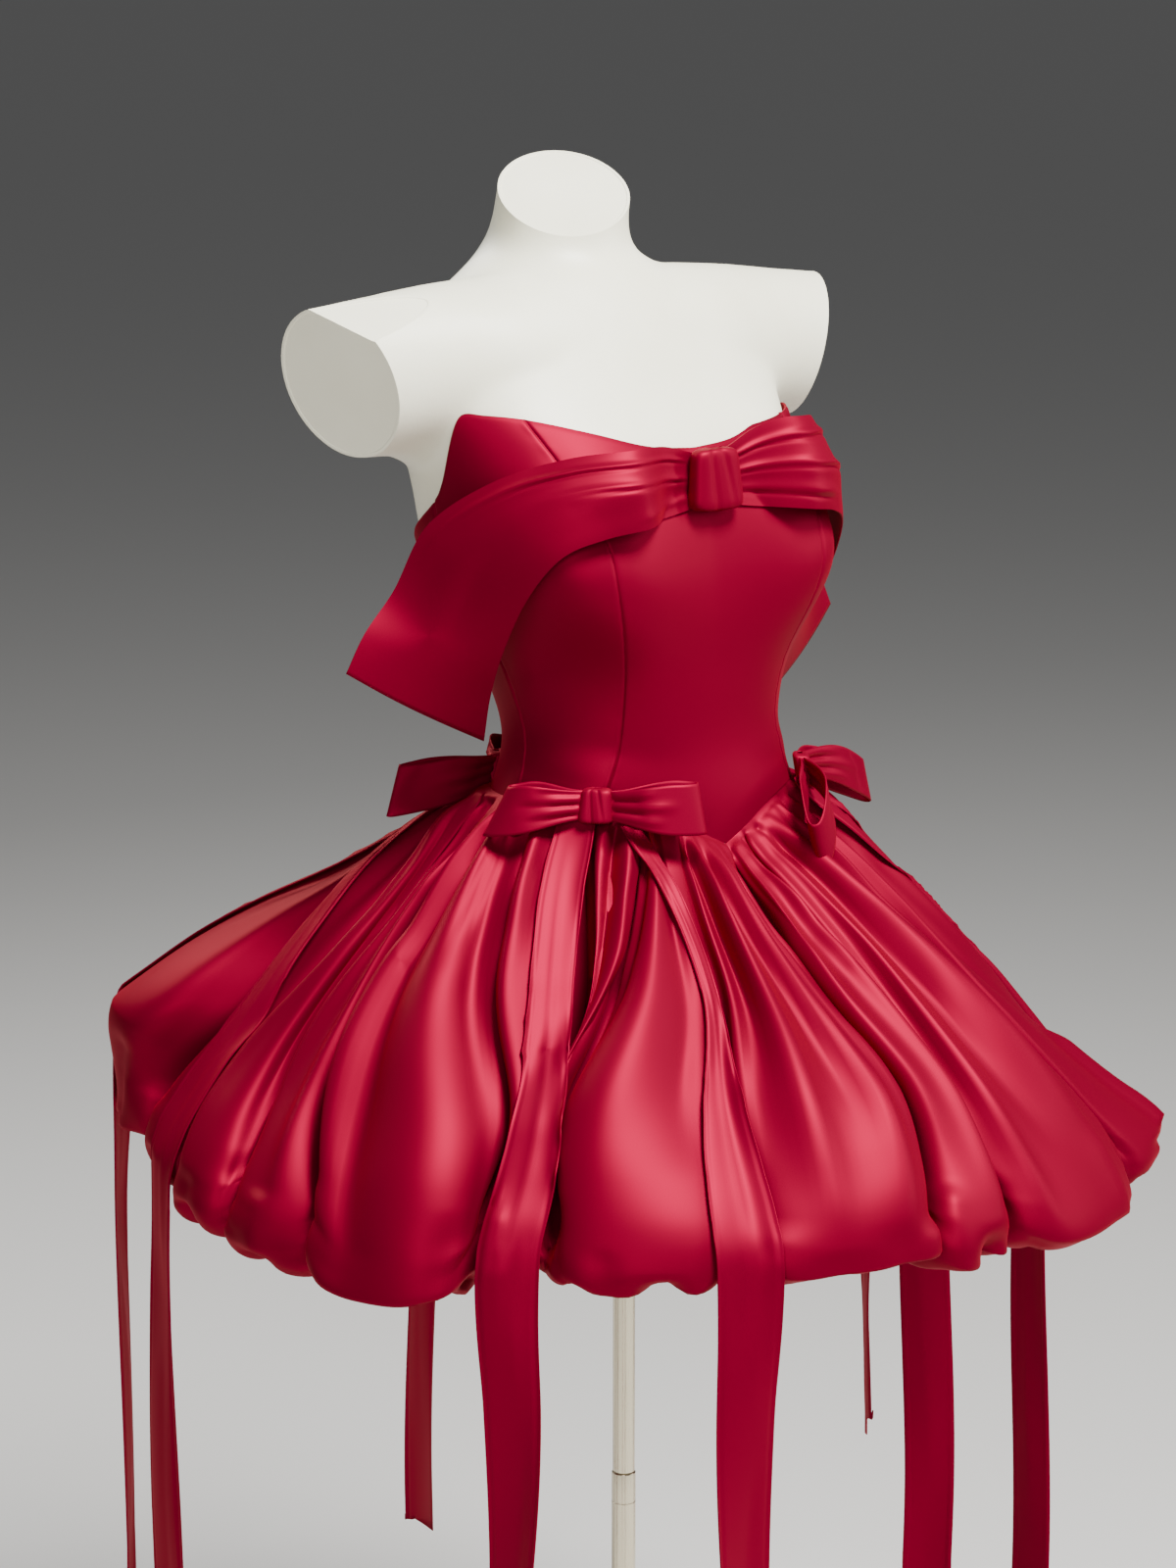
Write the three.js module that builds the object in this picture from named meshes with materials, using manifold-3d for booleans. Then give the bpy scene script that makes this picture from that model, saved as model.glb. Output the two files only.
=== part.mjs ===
// Homecoming dress in crimson satin, on the limbless dress form and pole stand it was shown on.
// Millimetres, +Z up. The front faces -Y, the wearer's left is +X, and the origin is on the
// floor under the pole. Every cloth piece is a thin closed wall; every angle is in degrees,
// counted from the front round towards the wearer's left.
import * as THREE from "three";
import Module from "manifold-3d";

const wasm = await Module();
wasm.setup();

// Driving sizes
const BODICE_CLOTH = 2.0; // satin with its backing and boning
const SKIRT_CLOTH = 1.6; // satin with a stiff underlay
const RIBBON_CLOTH = 1.2; // doubled ribbon
const SEAM_GAP = 0.3; // between two sewn pieces
const WAIST_GAP = 0.85; // from the slanting waist seam down to the skirt
const FORM_GAP = 0.9; // between the form and the bodice, where they are closest
const BUST_EASE = 2.6; // the bodice's cups stand off the form by this much more
const RIBBON_WIDTH = 44;
const SKIRT_AXIS_Y = -5; // the skirt's own centre line
const PLEAT_DEPTH = 5; // small gathers below the waist seam
const POLE_JOINT_Z = 429; // where the pole's two lengths screw together
const POLE_UPPER_RADIUS = 9;
const POLE_LOWER_RADIUS = 9.75;
const BASE_RADIUS = 160;
const BASE_THICK = 8;
const BOSS_RADIUS = 24;
const BOSS_HEIGHT = 26;
const TORSO_BOTTOM_Z = 812;
const NECK_CUT_Z = 1457; // height of the slanted neck cut on the neck's own axis
const NECK_CUT_LEAN = 0.64; // the cut climbs this much for each unit backwards
const NECK_AXIS_Y = 74;

const table = (names, ...lines) =>
  lines.map((line) => Object.fromEntries(names.map((name, i) => [name, line[i]])));

// The form's body: a section for each height.
const TORSO = table(
  ["z", "half", "mid", "front", "back", "power"],
  [800, 145, -15, 98, 100, 2.2],
  [840, 160, -15, 106, 109, 2.2],
  [880, 162, -15, 108, 110, 2.2],
  [920, 157, -16, 105, 106, 2.2],
  [950, 148, -17, 101, 100, 2.2],
  [1000, 127, -19, 94, 90, 2.2],
  [1050, 113, -19, 85, 85, 2.2],
  [1100, 121, -8, 95, 91, 2.25],
  [1150, 139, 8, 113, 102, 2.3],
  [1190, 154, 22, 124, 109, 2.3],
  [1240, 160, 32, 123, 109, 2.3],
  [1280, 167, 40, 112, 104, 2.3],
  [1310, 172, 48, 95, 96, 2.3],
  [1340, 166, 55, 82, 87, 2.3],
  [1370, 138, 62, 71, 80, 2.25],
  [1392, 98, 68, 62, 76, 2.15],
  [1410, 67, 72, 56, 69, 2.05],
  [1428, 56, 73, 53, 62, 2],
  [1455, 52, 74, 51, 54, 2],
  [1540, 51, 74, 51, 51, 2],
);
const BUST = { angle: 43, spread: 22, z: 1186, tall: 66, rise: 31 };

// The shoulder stumps: a section for each distance out to the side, each one leaning.
const STUMP = table(
  ["x", "z", "tall", "mid", "deep", "lean", "yaw"],
  [40, 1298, 104, 50, 80, 0, 0],
  [100, 1310, 89, 52, 73, 0, 0],
  [145, 1321, 74, 55, 63, 0.08, 0.12],
  [190, 1328, 61, 56, 55, 0.18, 0.26],
  [232, 1327, 57, 55, 48, 0.28, 0.34],
);

// The bodice's top edge and its waist seam, by angle from the centre front.
const TOP_EDGE = table(
  ["angle", "z"],
  [0, 1273],
  [20, 1277],
  [40, 1289],
  [59, 1301],
  [73, 1298],
  [79, 1284],
  [85, 1252],
  [92, 1232],
  [110, 1206],
  [135, 1181],
  [180, 1165],
);
const WAIST_SEAM = table(
  ["angle", "z"],
  [0, 972],
  [12, 983],
  [25, 995],
  [40, 1003],
  [56, 1006],
  [90, 1008],
  [135, 1006],
  [180, 1004],
);
// Where the bodice's lengthwise seams run, by height.
const BODICE_SEAMS = table(
  ["z", "princess", "side", "back"],
  [970, 57, 90, 130],
  [1005, 56, 90, 130],
  [1050, 50, 90, 131],
  [1120, 41, 90, 133],
  [1190, 38, 91, 136],
  [1220, 40, 91, 138],
  [1260, 48, 91, 139],
  [1301, 59, 92, 140],
);

// The skirt from the waist seam out, down, under and up again to the inner hem edge.
// fold, gather, lobe and puff say how much of each effect a row takes, lift raises the folds,
// seam says how far the row still follows the waist seam's own line.
const PROFILE = table(
  ["z", "r", "fold", "gather", "lobe", "puff", "lift", "seam"],
  [1004, 126, 0, 0, 0, 0, 0, 1],
  [997, 136, 0.05, 0.12, 0, 0, 0, 1],
  [983, 154, 0.16, 0.7, 0, 0.08, 0, 1],
  [956, 184, 0.34, 1, 0, 0.3, 0, 0.8],
  [924, 216, 0.5, 0.95, 0.08, 0.45, 0, 0.6],
  [888, 251, 0.66, 0.75, 0.25, 0.75, 0, 0.4],
  [850, 286, 0.82, 0.5, 0.45, 1, 0, 0.2],
  [812, 320, 0.94, 0.28, 0.65, 1, 0, 0],
  [778, 352, 1, 0.12, 0.85, 0.8, 0.05, 0],
  [748, 377, 1, 0.04, 1, 0.4, 0.2, 0],
  [722, 389, 0.96, 0, 1, 0.1, 0.4, 0],
  [703, 383, 0.9, 0, 1, 0, 0.5, 0],
  [694, 364, 0.8, 0, 1, 0, 0.5, 0],
  [696, 338, 0.65, 0, 0.9, 0, 0.4, 0],
  [706, 310, 0.5, 0, 0.7, 0, 0.2, 0],
  [726, 284, 0.35, 0, 0.5, 0, 0, 0],
);

// Each row is one main fold and the lobe of cloth that follows it. The four angles place the
// fold at the four heights in FOLD_Z; deep is the fold's depth; reach, rise and puff shape the
// lobe; pleats counts its gathers at the waist; parts is the number of faces across it.
const FOLD_Z = [980, 900, 820, 740];
const FOLDS = table(
  ["name", "top", "high", "low", "hem", "deep", "reach", "rise", "puff", "pleats", "parts"],
  ["back_centre", -180, -180, -181, -180, 40, 6, 4, 8, 1, 5],
  ["back_right", -160, -161, -159, -160, 44, 10, -6, 4, 1, 5],
  ["right_great", -141, -142, -140, -142, 46, 6, 42, 68, 0, 6],
  ["right_ridge", -122, -122, -117, -120, 44, -4, 16, 6, 0, 4],
  ["right_narrow", -110, -104, -108, -106, 34, 4, 2, 4, 0, 4],
  ["right_hung", -101, -99, -98, -93, 40, 2, -4, 0, 1, 4],
  ["right_front", -91, -90, -86, -78, 42, 12, -3, 14, 2, 8],
  ["bow_right", -73, -67, -58, -57, 52, -14, 18, -4, 1, 4],
  ["bow_fold", -54, -50, -53, -53, 36, -18, 24, -4, 0, 4],
  ["front_right", -36, -43, -50, -50, 46, 2, 14, 8, 1, 8],
  ["front_valley", -28, -25, -28, -27, 60, 4, 16, 10, 2, 8],
  ["front_left", -2, -3, 1, -4, 42, 2, 2, 2, 0, 4],
  ["left_front", 9, 11, 10, 8, 48, 10, -8, 6, 2, 8],
  ["left_turn", 34, 36, 38, 40, 34, 32, -22, -10, 1, 6],
  ["left_bow", 56, 57, 59, 61, 44, 6, -4, 4, 1, 4],
  ["left_side", 75, 76, 77, 78, 38, 0, 4, 6, 0, 4],
  ["left_back", 91, 91, 91, 92, 42, 8, -6, 6, 1, 6],
  ["left_deep", 108, 109, 110, 109, 46, 4, 6, 8, 0, 4],
  ["back_bow", 122, 123, 125, 124, 42, 10, 0, 12, 1, 6],
  ["back_turn", 142, 143, 142, 143, 38, 4, 6, 2, 1, 4],
  ["back_left", 161, 160, 162, 161, 44, 8, -4, 8, 1, 5],
);
const SKIRT_PANELS = table(
  ["name", "from", "to"],
  ["skirt_front", "bow_fold", "left_bow"],
  ["skirt_left", "left_bow", "back_bow"],
  ["skirt_back", "back_bow", "right_ridge"],
  ["skirt_right", "right_ridge", "bow_fold"],
);

// The chest bow's band, wearer's right, as its upper and its lower edge; the left mirrors it.
const BAND_CLOTH = 1.8;
const BAND = table(
  ["s", "ux", "uy", "uz", "lx", "ly", "lz", "puff"],
  [0, -16, -93, 1264, -16, -94, 1240, 0],
  [0.12, -44, -94, 1277, -44, -98, 1230, 4],
  [0.28, -84, -104, 1280, -80, -124, 1224, 9],
  [0.44, -124, -76, 1274, -116, -114, 1218, 10],
  [0.58, -158, -34, 1256, -142, -94, 1204, 9],
  [0.7, -187, 8, 1222, -155, -70, 1172, 8],
  [0.82, -208, 24, 1172, -156, -42, 1128, 7],
  [0.91, -232, 28, 1142, -152, -22, 1092, 6],
  [1, -248, 30, 1113, -146, -6, 1054, 5],
);
const CHEST_KNOT = { z: 1252, wide: 17, tall: 22, deep: 10 };

// The four waist bows, and the two tails that leave each of them. seat is the room for the
// tails under a knot, and clear the room between a tail and the cloth it lies on.
const BOWS = table(
  ["name", "angle", "z", "seat", "droop_a", "droop_b", "bend_a", "bend_b"],
  ["bow_front_right", -51, 1013, 1.9, 8, 2, 20, 18],
  ["bow_front_left", 51, 1013, 1.7, 44, 30, 24, -22],
  ["bow_back_left", 136, 1010, 3, 26, 8, 22, 20],
  ["bow_back_right", -133, 1014, 3.1, 12, 10, 8, -44],
);
const LOOP = { long: 78, half_tall_knot: 11, half_tall_end: 19, half_deep: 9.5 };
const BOW_KNOT = { wide: 9.5, tall: 13, deep: 8 };
const LOOP_CLEAR = 5.8; // the tails pass between the bows and the seam under them
const TAIL_HANG_Z = [640, 520, 400];
const TAILS = table(
  ["name", "bow", "start", "a962", "a895", "a825", "a740", "clear", "folded", "twist", "end", "slant"],
  ["tail_front_right_a", -51, -57, -57, -54.5, -52.5, -53.5, 1.15, 26, -38, 205, 14],
  ["tail_front_right_b", -51, -44, -31, -26, -28, -28, 1.3, 12, 31, 190, -12],
  ["tail_front_left_a", 51, 57, 65, 77, 89, 98, 1.7, 22, 43, 200, 12],
  ["tail_front_left_b", 51, 45, 51, 60, 70, 78, 1.3, 22, 10, 215, -14],
  ["tail_back_left_a", 135, 141, 146, 154, 162, 167, 1.7, 22, 33, 240, 16],
  ["tail_back_left_b", 135, 129, 122, 115, 109, 107, 1.3, 20, -56, 345, -20],
  ["tail_back_right_a", -133, -127, -121, -114, -110, -108, 1.3, 22, 14, 195, 10],
  ["tail_back_right_b", -133, -139, -138, -137, -136.5, -136, 1.4, 20, 5, 210, -12],
);

const rad = (degrees) => (degrees * Math.PI) / 180;
const mix = (a, b, t) => a + (b - a) * t;
const clamp01 = (t) => Math.min(1, Math.max(0, t));
const ease = (t) => clamp01(t) ** 2 * (3 - 2 * clamp01(t));
const vec = (x, y, z) => new THREE.Vector3(x, y, z);

// The value of one column where another column has the given value, smooth through the rows.
function column(rows, key, want, at) {
  const last = rows.length - 1;
  if (at <= rows[0][key]) return rows[0][want];
  if (at >= rows[last][key]) return rows[last][want];
  let i = 0;
  while (rows[i + 1][key] < at) i += 1;
  const before = rows[Math.max(i - 1, 0)];
  const low = rows[i];
  const high = rows[i + 1];
  const after = rows[Math.min(i + 2, last)];
  const step = high[key] - low[key];
  const slope = (p, q) => (q[want] - p[want]) / (q[key] - p[key]);
  const t = (at - low[key]) / step;
  const m0 = slope(before, high) * step;
  const m1 = slope(low, after) * step;
  const t2 = t * t;
  const t3 = t2 * t;
  return (
    (2 * t3 - 3 * t2 + 1) * low[want] +
    (t3 - 2 * t2 + t) * m0 +
    (3 * t2 - 2 * t3) * high[want] +
    (t3 - t2) * m1
  );
}

// Meshes
function meshFrom(name, points, faces, colour, rough = 0.4, metal = 0) {
  let volume = 0;
  for (const [a, b, c] of faces) volume += points[a].dot(vec(0, 0, 0).crossVectors(points[b], points[c]));
  const turned = volume < 0 ? faces.map(([a, b, c]) => [a, c, b]) : faces;
  const geometry = new THREE.BufferGeometry();
  const flat = points.flatMap((p) => [p.x, p.y, p.z]);
  geometry.setAttribute("position", new THREE.Float32BufferAttribute(flat, 3));
  geometry.setIndex(turned.flat());
  geometry.computeVertexNormals();
  const material = new THREE.MeshStandardMaterial({ color: colour, roughness: rough, metalness: metal });
  material.name = name;
  const mesh = new THREE.Mesh(geometry, material);
  mesh.name = name;
  return mesh;
}

// A closed wall between two grids of points; a ring grid meets itself.
function wall(name, outer, inner, colour, ring = false) {
  const across = outer.length;
  const down = outer[0].length;
  const points = [...outer.flat(), ...inner.flat()];
  const shift = across * down;
  const at = (i, j) => (i % across) * down + j;
  const faces = [];
  const quad = (a, b, c, d) => faces.push([a, b, c], [a, c, d]);
  for (let i = 0; i < (ring ? across : across - 1); i += 1) {
    for (let j = 0; j < down - 1; j += 1) {
      const [a, b, c, d] = [at(i, j), at(i + 1, j), at(i + 1, j + 1), at(i, j + 1)];
      faces.push([a, b, c], [a, c, d]);
      faces.push([a + shift, c + shift, b + shift], [a + shift, d + shift, c + shift]);
    }
    quad(at(i + 1, 0), at(i, 0), at(i, 0) + shift, at(i + 1, 0) + shift);
    quad(at(i, down - 1), at(i + 1, down - 1), at(i + 1, down - 1) + shift, at(i, down - 1) + shift);
  }
  if (!ring) {
    for (let j = 0; j < down - 1; j += 1) {
      const end = across - 1;
      quad(at(0, j), at(0, j + 1), at(0, j + 1) + shift, at(0, j) + shift);
      quad(at(end, j + 1), at(end, j), at(end, j) + shift, at(end, j + 1) + shift);
    }
  }
  return meshFrom(name, points, faces, colour);
}

// A solid through rings of points, closed at both ends by flat fans.
function loftData(rings) {
  const around = rings[0].length;
  const points = rings.flat();
  const faces = [];
  for (let k = 0; k < rings.length - 1; k += 1) {
    for (let i = 0; i < around; i += 1) {
      const [a, b] = [k * around + i, k * around + ((i + 1) % around)];
      faces.push([a, b, b + around], [a, b + around, a + around]);
    }
  }
  for (const [ring, flip] of [[0, true], [rings.length - 1, false]]) {
    const middle = vec(0, 0, 0);
    rings[ring].forEach((p) => middle.addScaledVector(p, 1 / around));
    points.push(middle);
    for (let i = 0; i < around; i += 1) {
      const [a, b] = [ring * around + i, ring * around + ((i + 1) % around)];
      faces.push(flip ? [b, a, points.length - 1] : [a, b, points.length - 1]);
    }
  }
  return { points, faces };
}
const loft = (name, rings, colour, rough, metal) => {
  const { points, faces } = loftData(rings);
  return meshFrom(name, points, faces, colour, rough, metal);
};

// A round solid from radius and height pairs.
const turned = (name, outline, colour, rough, metal, around = 40) =>
  loft(
    name,
    outline.map(([radius, z]) =>
      Array.from({ length: around }, (_, i) => {
        const a = (2 * Math.PI * i) / around;
        return vec(radius * Math.cos(a), radius * Math.sin(a), z);
      }),
    ),
    colour,
    rough,
    metal,
  );

function solidFrom({ points, faces }) {
  const floats = Float32Array.from(points.flatMap((p) => [p.x, p.y, p.z]));
  const solid = new wasm.Manifold(
    new wasm.Mesh({ numProp: 3, vertProperties: floats, triVerts: Uint32Array.from(faces.flat()) }),
  );
  if (solid.volume() > 0) return solid;
  return solidFrom({ points, faces: faces.map(([a, b, c]) => [a, c, b]) });
}

function meshOfSolid(name, solid, colour, rough) {
  const made = solid.getMesh();
  const points = [];
  for (let i = 0; i < made.vertProperties.length; i += made.numProp) {
    points.push(vec(...made.vertProperties.slice(i, i + 3)));
  }
  const faces = [];
  for (let i = 0; i < made.triVerts.length; i += 3) faces.push([...made.triVerts.slice(i, i + 3)]);
  return meshFrom(name, points, faces, colour, rough);
}

// The form's surface
function torsoRadius(angle, z) {
  const turn = Math.abs(((angle + 540) % 360) - 180);
  const [s, c] = [Math.sin(rad(turn)), Math.cos(rad(turn))];
  const get = (want) => column(TORSO, "z", want, z);
  const power = get("power");
  const depth = c > 0 ? get("front") : get("back");
  const plain = ((s / get("half")) ** power + (Math.abs(c) / depth) ** power) ** (-1 / power);
  const fall = ((turn - BUST.angle) / BUST.spread) ** 2 + ((z - BUST.z) / BUST.tall) ** 2;
  return plain + BUST.rise * Math.exp(-fall);
}
const heading = (angle) => vec(Math.sin(rad(angle)), -Math.cos(rad(angle)), 0);
function bodyPoint(angle, z, out) {
  const p = heading(angle).multiplyScalar(torsoRadius(angle, z) + out);
  return p.add(vec(0, column(TORSO, "z", "mid", z), z));
}
const BODICE_OUT = FORM_GAP + BODICE_CLOTH;

const CRIMSON = 0xb0102c;
const parts = [];

// The form: body, stumps and the slanted neck cut
function makeTorso() {
  const heights = [TORSO_BOTTOM_Z, 819, 850, 900];
  heights.push(940, 975, 1004, 1020, 1034, 1048, 1062, 1078, 1096, 1118, 1142, 1166, 1190, 1214, 1240, 1268, 1296);
  heights.push(1318, 1338, 1356, 1370, 1383, 1395, 1408, 1424, 1450, 1530);
  const around = 40;
  const rings = heights.map((z) =>
    Array.from({ length: around }, (_, i) => {
      const trim = z === TORSO_BOTTOM_Z ? 6 : BUST_EASE * ease((z - 1060) / 90) * ease((1345 - z) / 60);
      return bodyPoint((360 * i) / around, z, -trim);
    }),
  );
  let form = solidFrom(loftData(rings));
  for (const side of [1, -1]) {
    const sections = STUMP.map((row) =>
      Array.from({ length: 22 }, (_, i) => {
        const a = (2 * Math.PI * i) / 22;
        const up = row.tall * Math.sin(a);
        const back = -row.deep * Math.cos(a);
        return vec(side * (row.x + row.lean * up + row.yaw * back), row.mid + back, row.z + up);
      }),
    );
    form = form.add(solidFrom(loftData(sections)));
  }
  const normal = vec(0, NECK_CUT_LEAN, -1).normalize();
  const reach = normal.dot(vec(0, NECK_AXIS_Y, NECK_CUT_Z));
  form = form.trimByPlane([normal.x, normal.y, normal.z], reach);
  return meshOfSolid("form_torso", form, 0xe6e1d6, 0.55);
}
parts.push(makeTorso());

// Stand
const flangeTop = TORSO_BOTTOM_Z - SEAM_GAP;
const flangeFoot = flangeTop - 30;
parts.push(
  turned("form_flange", [[20, flangeFoot], [20, flangeTop - 6], [48, flangeTop - 5], [50, flangeTop - 3],
    [50, flangeTop]], 0x77736c, 0.4, 0.9, 24),
  turned("pole_upper", [[POLE_UPPER_RADIUS, POLE_JOINT_Z + SEAM_GAP / 2],
    [POLE_UPPER_RADIUS, flangeFoot - SEAM_GAP]], 0xc9bfa8, 0.3, 1, 24),
  turned("pole_lower", [[POLE_LOWER_RADIUS, BASE_THICK + BOSS_HEIGHT + SEAM_GAP],
    [POLE_LOWER_RADIUS, POLE_JOINT_Z - 1.2], [POLE_UPPER_RADIUS, POLE_JOINT_Z - SEAM_GAP / 2]],
  0xc9bfa8, 0.3, 1, 24),
  turned("base_plate", [[BASE_RADIUS, 0], [BASE_RADIUS, BASE_THICK - 1.5], [BASE_RADIUS - 1.5, BASE_THICK],
    [BOSS_RADIUS, BASE_THICK], [BOSS_RADIUS, BASE_THICK + BOSS_HEIGHT - 1.5],
    [BOSS_RADIUS - 1.5, BASE_THICK + BOSS_HEIGHT]], 0xb9b09a, 0.35, 1, 40),
);

// Bodice panels, each between two lengthwise seams
const seamHeight = (angle) => column(WAIST_SEAM, "angle", "z", Math.abs(((angle + 540) % 360) - 180));
const edgeHeight = (angle) => column(TOP_EDGE, "angle", "z", Math.abs(((angle + 540) % 360) - 180));
function bodicePanel(name, seamA, seamB, signA, signB, faces, down = 10) {
  const outer = [];
  const inner = [];
  for (let i = 0; i <= faces; i += 1) {
    const shift = (i === 0 ? SEAM_GAP / 2 : 0) - (i === faces ? SEAM_GAP / 2 : 0);
    const rows = [[], []];
    for (let j = 0; j <= down; j += 1) {
      let z = 1100;
      let angle = 0;
      for (let pass = 0; pass < 6; pass += 1) {
        const from = seamA === "centre" ? 180 : column(BODICE_SEAMS, "z", seamA, z);
        const to = seamB === "centre" ? 180 : column(BODICE_SEAMS, "z", seamB, z);
        angle = mix(signA * from, signB * to, i / faces);
        z = mix(edgeHeight(angle), seamHeight(angle) + SEAM_GAP / 2, j / down);
      }
      const along = heading(angle + 90).multiplyScalar(shift);
      rows[0].push(bodyPoint(angle, z, BODICE_OUT).add(along));
      rows[1].push(bodyPoint(angle, z, FORM_GAP).add(along));
    }
    outer.push(rows[0]);
    inner.push(rows[1]);
  }
  return wall(name, outer, inner, CRIMSON);
}
parts.push(
  bodicePanel("bodice_front", "princess", "princess", -1, 1, 12),
  bodicePanel("bodice_side_front_left", "princess", "side", 1, 1, 6),
  bodicePanel("bodice_side_front_right", "side", "princess", -1, -1, 6),
  bodicePanel("bodice_side_back_left", "side", "back", 1, 1, 5),
  bodicePanel("bodice_side_back_right", "back", "side", -1, -1, 5),
  bodicePanel("bodice_back_left", "back", "centre", 1, 1, 6),
  bodicePanel("bodice_back_right", "centre", "back", -1, -1, 6),
);

// Skirt
const foldRows = FOLDS.map((row) => [
  { z: FOLD_Z[3], a: row.hem },
  { z: FOLD_Z[2], a: row.low },
  { z: FOLD_Z[1], a: row.high },
  { z: FOLD_Z[0], a: row.top },
]);
const foldAngle = (i, z) => {
  const turns = Math.floor(i / FOLDS.length);
  return column(foldRows[i % FOLDS.length], "z", "a", z) + 360 * turns;
};
function skirtPoint(i, f, k) {
  const row = PROFILE[k];
  const fold = FOLDS[i];
  const next = FOLDS[(i + 1) % FOLDS.length];
  const angle = mix(foldAngle(i, row.z), foldAngle(i + 1, row.z), f);
  const top = bodyPoint(angle, seamHeight(angle) - WAIST_GAP, BODICE_OUT);
  if (k === 0) return top;
  const round = Math.sin(Math.PI * f) ** 0.75;
  const deep = mix(fold.deep, next.deep, f);
  const gather = 0.5 - 0.5 * Math.cos(2 * Math.PI * fold.pleats * f);
  const waist = Math.hypot(top.x, top.y - SKIRT_AXIS_Y) - PROFILE[0].r;
  const r =
    row.r + waist * row.seam + round * (fold.reach * row.lobe + fold.puff * row.puff) -
    deep * row.fold * (1 - round) - PLEAT_DEPTH * row.gather * gather;
  const z =
    row.z + (top.z - PROFILE[0].z) * row.seam + round * fold.rise * row.lobe +
    deep * row.lift * (1 - round);
  return heading(angle).multiplyScalar(r).add(vec(0, SKIRT_AXIS_Y, z));
}
const skirtOuter = [];
const foldColumn = {};
FOLDS.forEach((fold, i) => {
  foldColumn[fold.name] = skirtOuter.length;
  for (let n = 0; n < fold.parts; n += 1) {
    skirtOuter.push(PROFILE.map((_, k) => skirtPoint(i, n / fold.parts, k)));
  }
});
const skirtCount = skirtOuter.length;
const skirtInner = skirtOuter.map((line, i) =>
  line.map((p, k) => {
    const before = skirtOuter[(i + skirtCount - 1) % skirtCount];
    const after = skirtOuter[(i + 1) % skirtCount];
    const across = vec(0, 0, 0).subVectors(after[k], before[k]);
    const down = vec(0, 0, 0).subVectors(line[Math.min(k + 1, line.length - 1)], line[Math.max(k - 1, 0)]);
    const inward = vec(0, 0, 0).crossVectors(across, down).normalize();
    if (k === 0) {
      const angle = (Math.atan2(p.x, -(p.y - column(TORSO, "z", "mid", p.z))) * 180) / Math.PI;
      return bodyPoint(angle, p.z, BODICE_OUT - SKIRT_CLOTH);
    }
    return p.clone().addScaledVector(inward, SKIRT_CLOTH);
  }),
);
for (const panel of SKIRT_PANELS) {
  const from = foldColumn[panel.from];
  const faces = (foldColumn[panel.to] - from + skirtCount) % skirtCount;
  const take = (grid) =>
    Array.from({ length: faces + 1 }, (_, n) => {
      const line = grid[(from + n) % skirtCount];
      const shift = (n === 0 ? SEAM_GAP / 2 : 0) - (n === faces ? SEAM_GAP / 2 : 0);
      return line.map((p, k) => {
        const middle = line[Math.max(k, 2)];
        const along = vec(-(middle.y - SKIRT_AXIS_Y), middle.x, 0).normalize();
        return p.clone().addScaledVector(along, shift * (k < 3 ? 3.2 : 1));
      });
    });
  parts.push(wall(panel.name, take(skirtOuter), take(skirtInner), CRIMSON));
}

// How far out the cloth stands at an angle and a height, and where hanging cloth clears it.
const polar = skirtOuter.map((line) =>
  line.map((p) => ({
    a: (Math.atan2(p.x, -(p.y - SKIRT_AXIS_Y)) * 180) / Math.PI,
    r: Math.hypot(p.x, p.y - SKIRT_AXIS_Y),
    z: p.z,
  })),
);
const wrap = (a) => ((((a + 180) % 360) + 360) % 360) - 180;
const slices = Array.from({ length: 360 }, () => []);
for (let i = 0; i < skirtCount; i += 1) {
  const [one, two] = [skirtOuter[i], skirtOuter[(i + 1) % skirtCount]];
  for (let k = 0; k < one.length - 1; k += 1) {
    for (const corners of [[one[k], two[k], two[k + 1]], [one[k], two[k + 1], one[k + 1]]]) {
      const turns = corners.map((p) => (Math.atan2(p.x, -(p.y - SKIRT_AXIS_Y)) * 180) / Math.PI);
      const spans = turns.map((a) => wrap(a - turns[0]));
      const from = Math.floor(turns[0] + Math.min(...spans));
      const to = Math.floor(turns[0] + Math.max(...spans));
      for (let a = from; a <= to; a += 1) slices[((a % 360) + 360) % 360].push(corners);
    }
  }
}
function standOut(angle, z, hang = false) {
  const seam = seamHeight(angle);
  const above = Math.min(Math.max(z, seam), edgeHeight(angle));
  let turned = angle;
  let p = bodyPoint(turned, above, BODICE_OUT);
  for (let pass = 0; pass < 5; pass += 1) {
    turned += wrap(angle - (Math.atan2(p.x, -(p.y - SKIRT_AXIS_Y)) * 180) / Math.PI);
    p = bodyPoint(turned, above, BODICE_OUT);
  }
  let best = z > seam - 2 || hang ? Math.hypot(p.x, p.y - SKIRT_AXIS_Y) : 0;
  const ahead = heading(angle);
  const aside = heading(angle + 90);
  for (const corners of slices[((Math.floor(angle) % 360) + 360) % 360]) {
    const flat = corners.map((c) => {
      const y = c.y - SKIRT_AXIS_Y;
      return { t: c.x * aside.x + y * aside.y, r: c.x * ahead.x + y * ahead.y, z: c.z };
    });
    const cuts = [];
    for (let n = 0; n < 3; n += 1) {
      const [a, b] = [flat[n], flat[(n + 1) % 3]];
      if (a.t > 0 === b.t > 0) continue;
      const f = a.t / (a.t - b.t);
      cuts.push({ r: mix(a.r, b.r, f), z: mix(a.z, b.z, f) });
    }
    if (cuts.length < 2) continue;
    const [low, high] = cuts[0].z < cuts[1].z ? cuts : [cuts[1], cuts[0]];
    if (high.z < z || (!hang && low.z > z)) continue;
    if (hang) best = Math.max(best, high.r, low.z > z ? low.r : 0);
    if (low.z <= z) best = Math.max(best, mix(low.r, high.r, (z - low.z) / (high.z - low.z || 1)));
  }
  return best;
}

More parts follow.
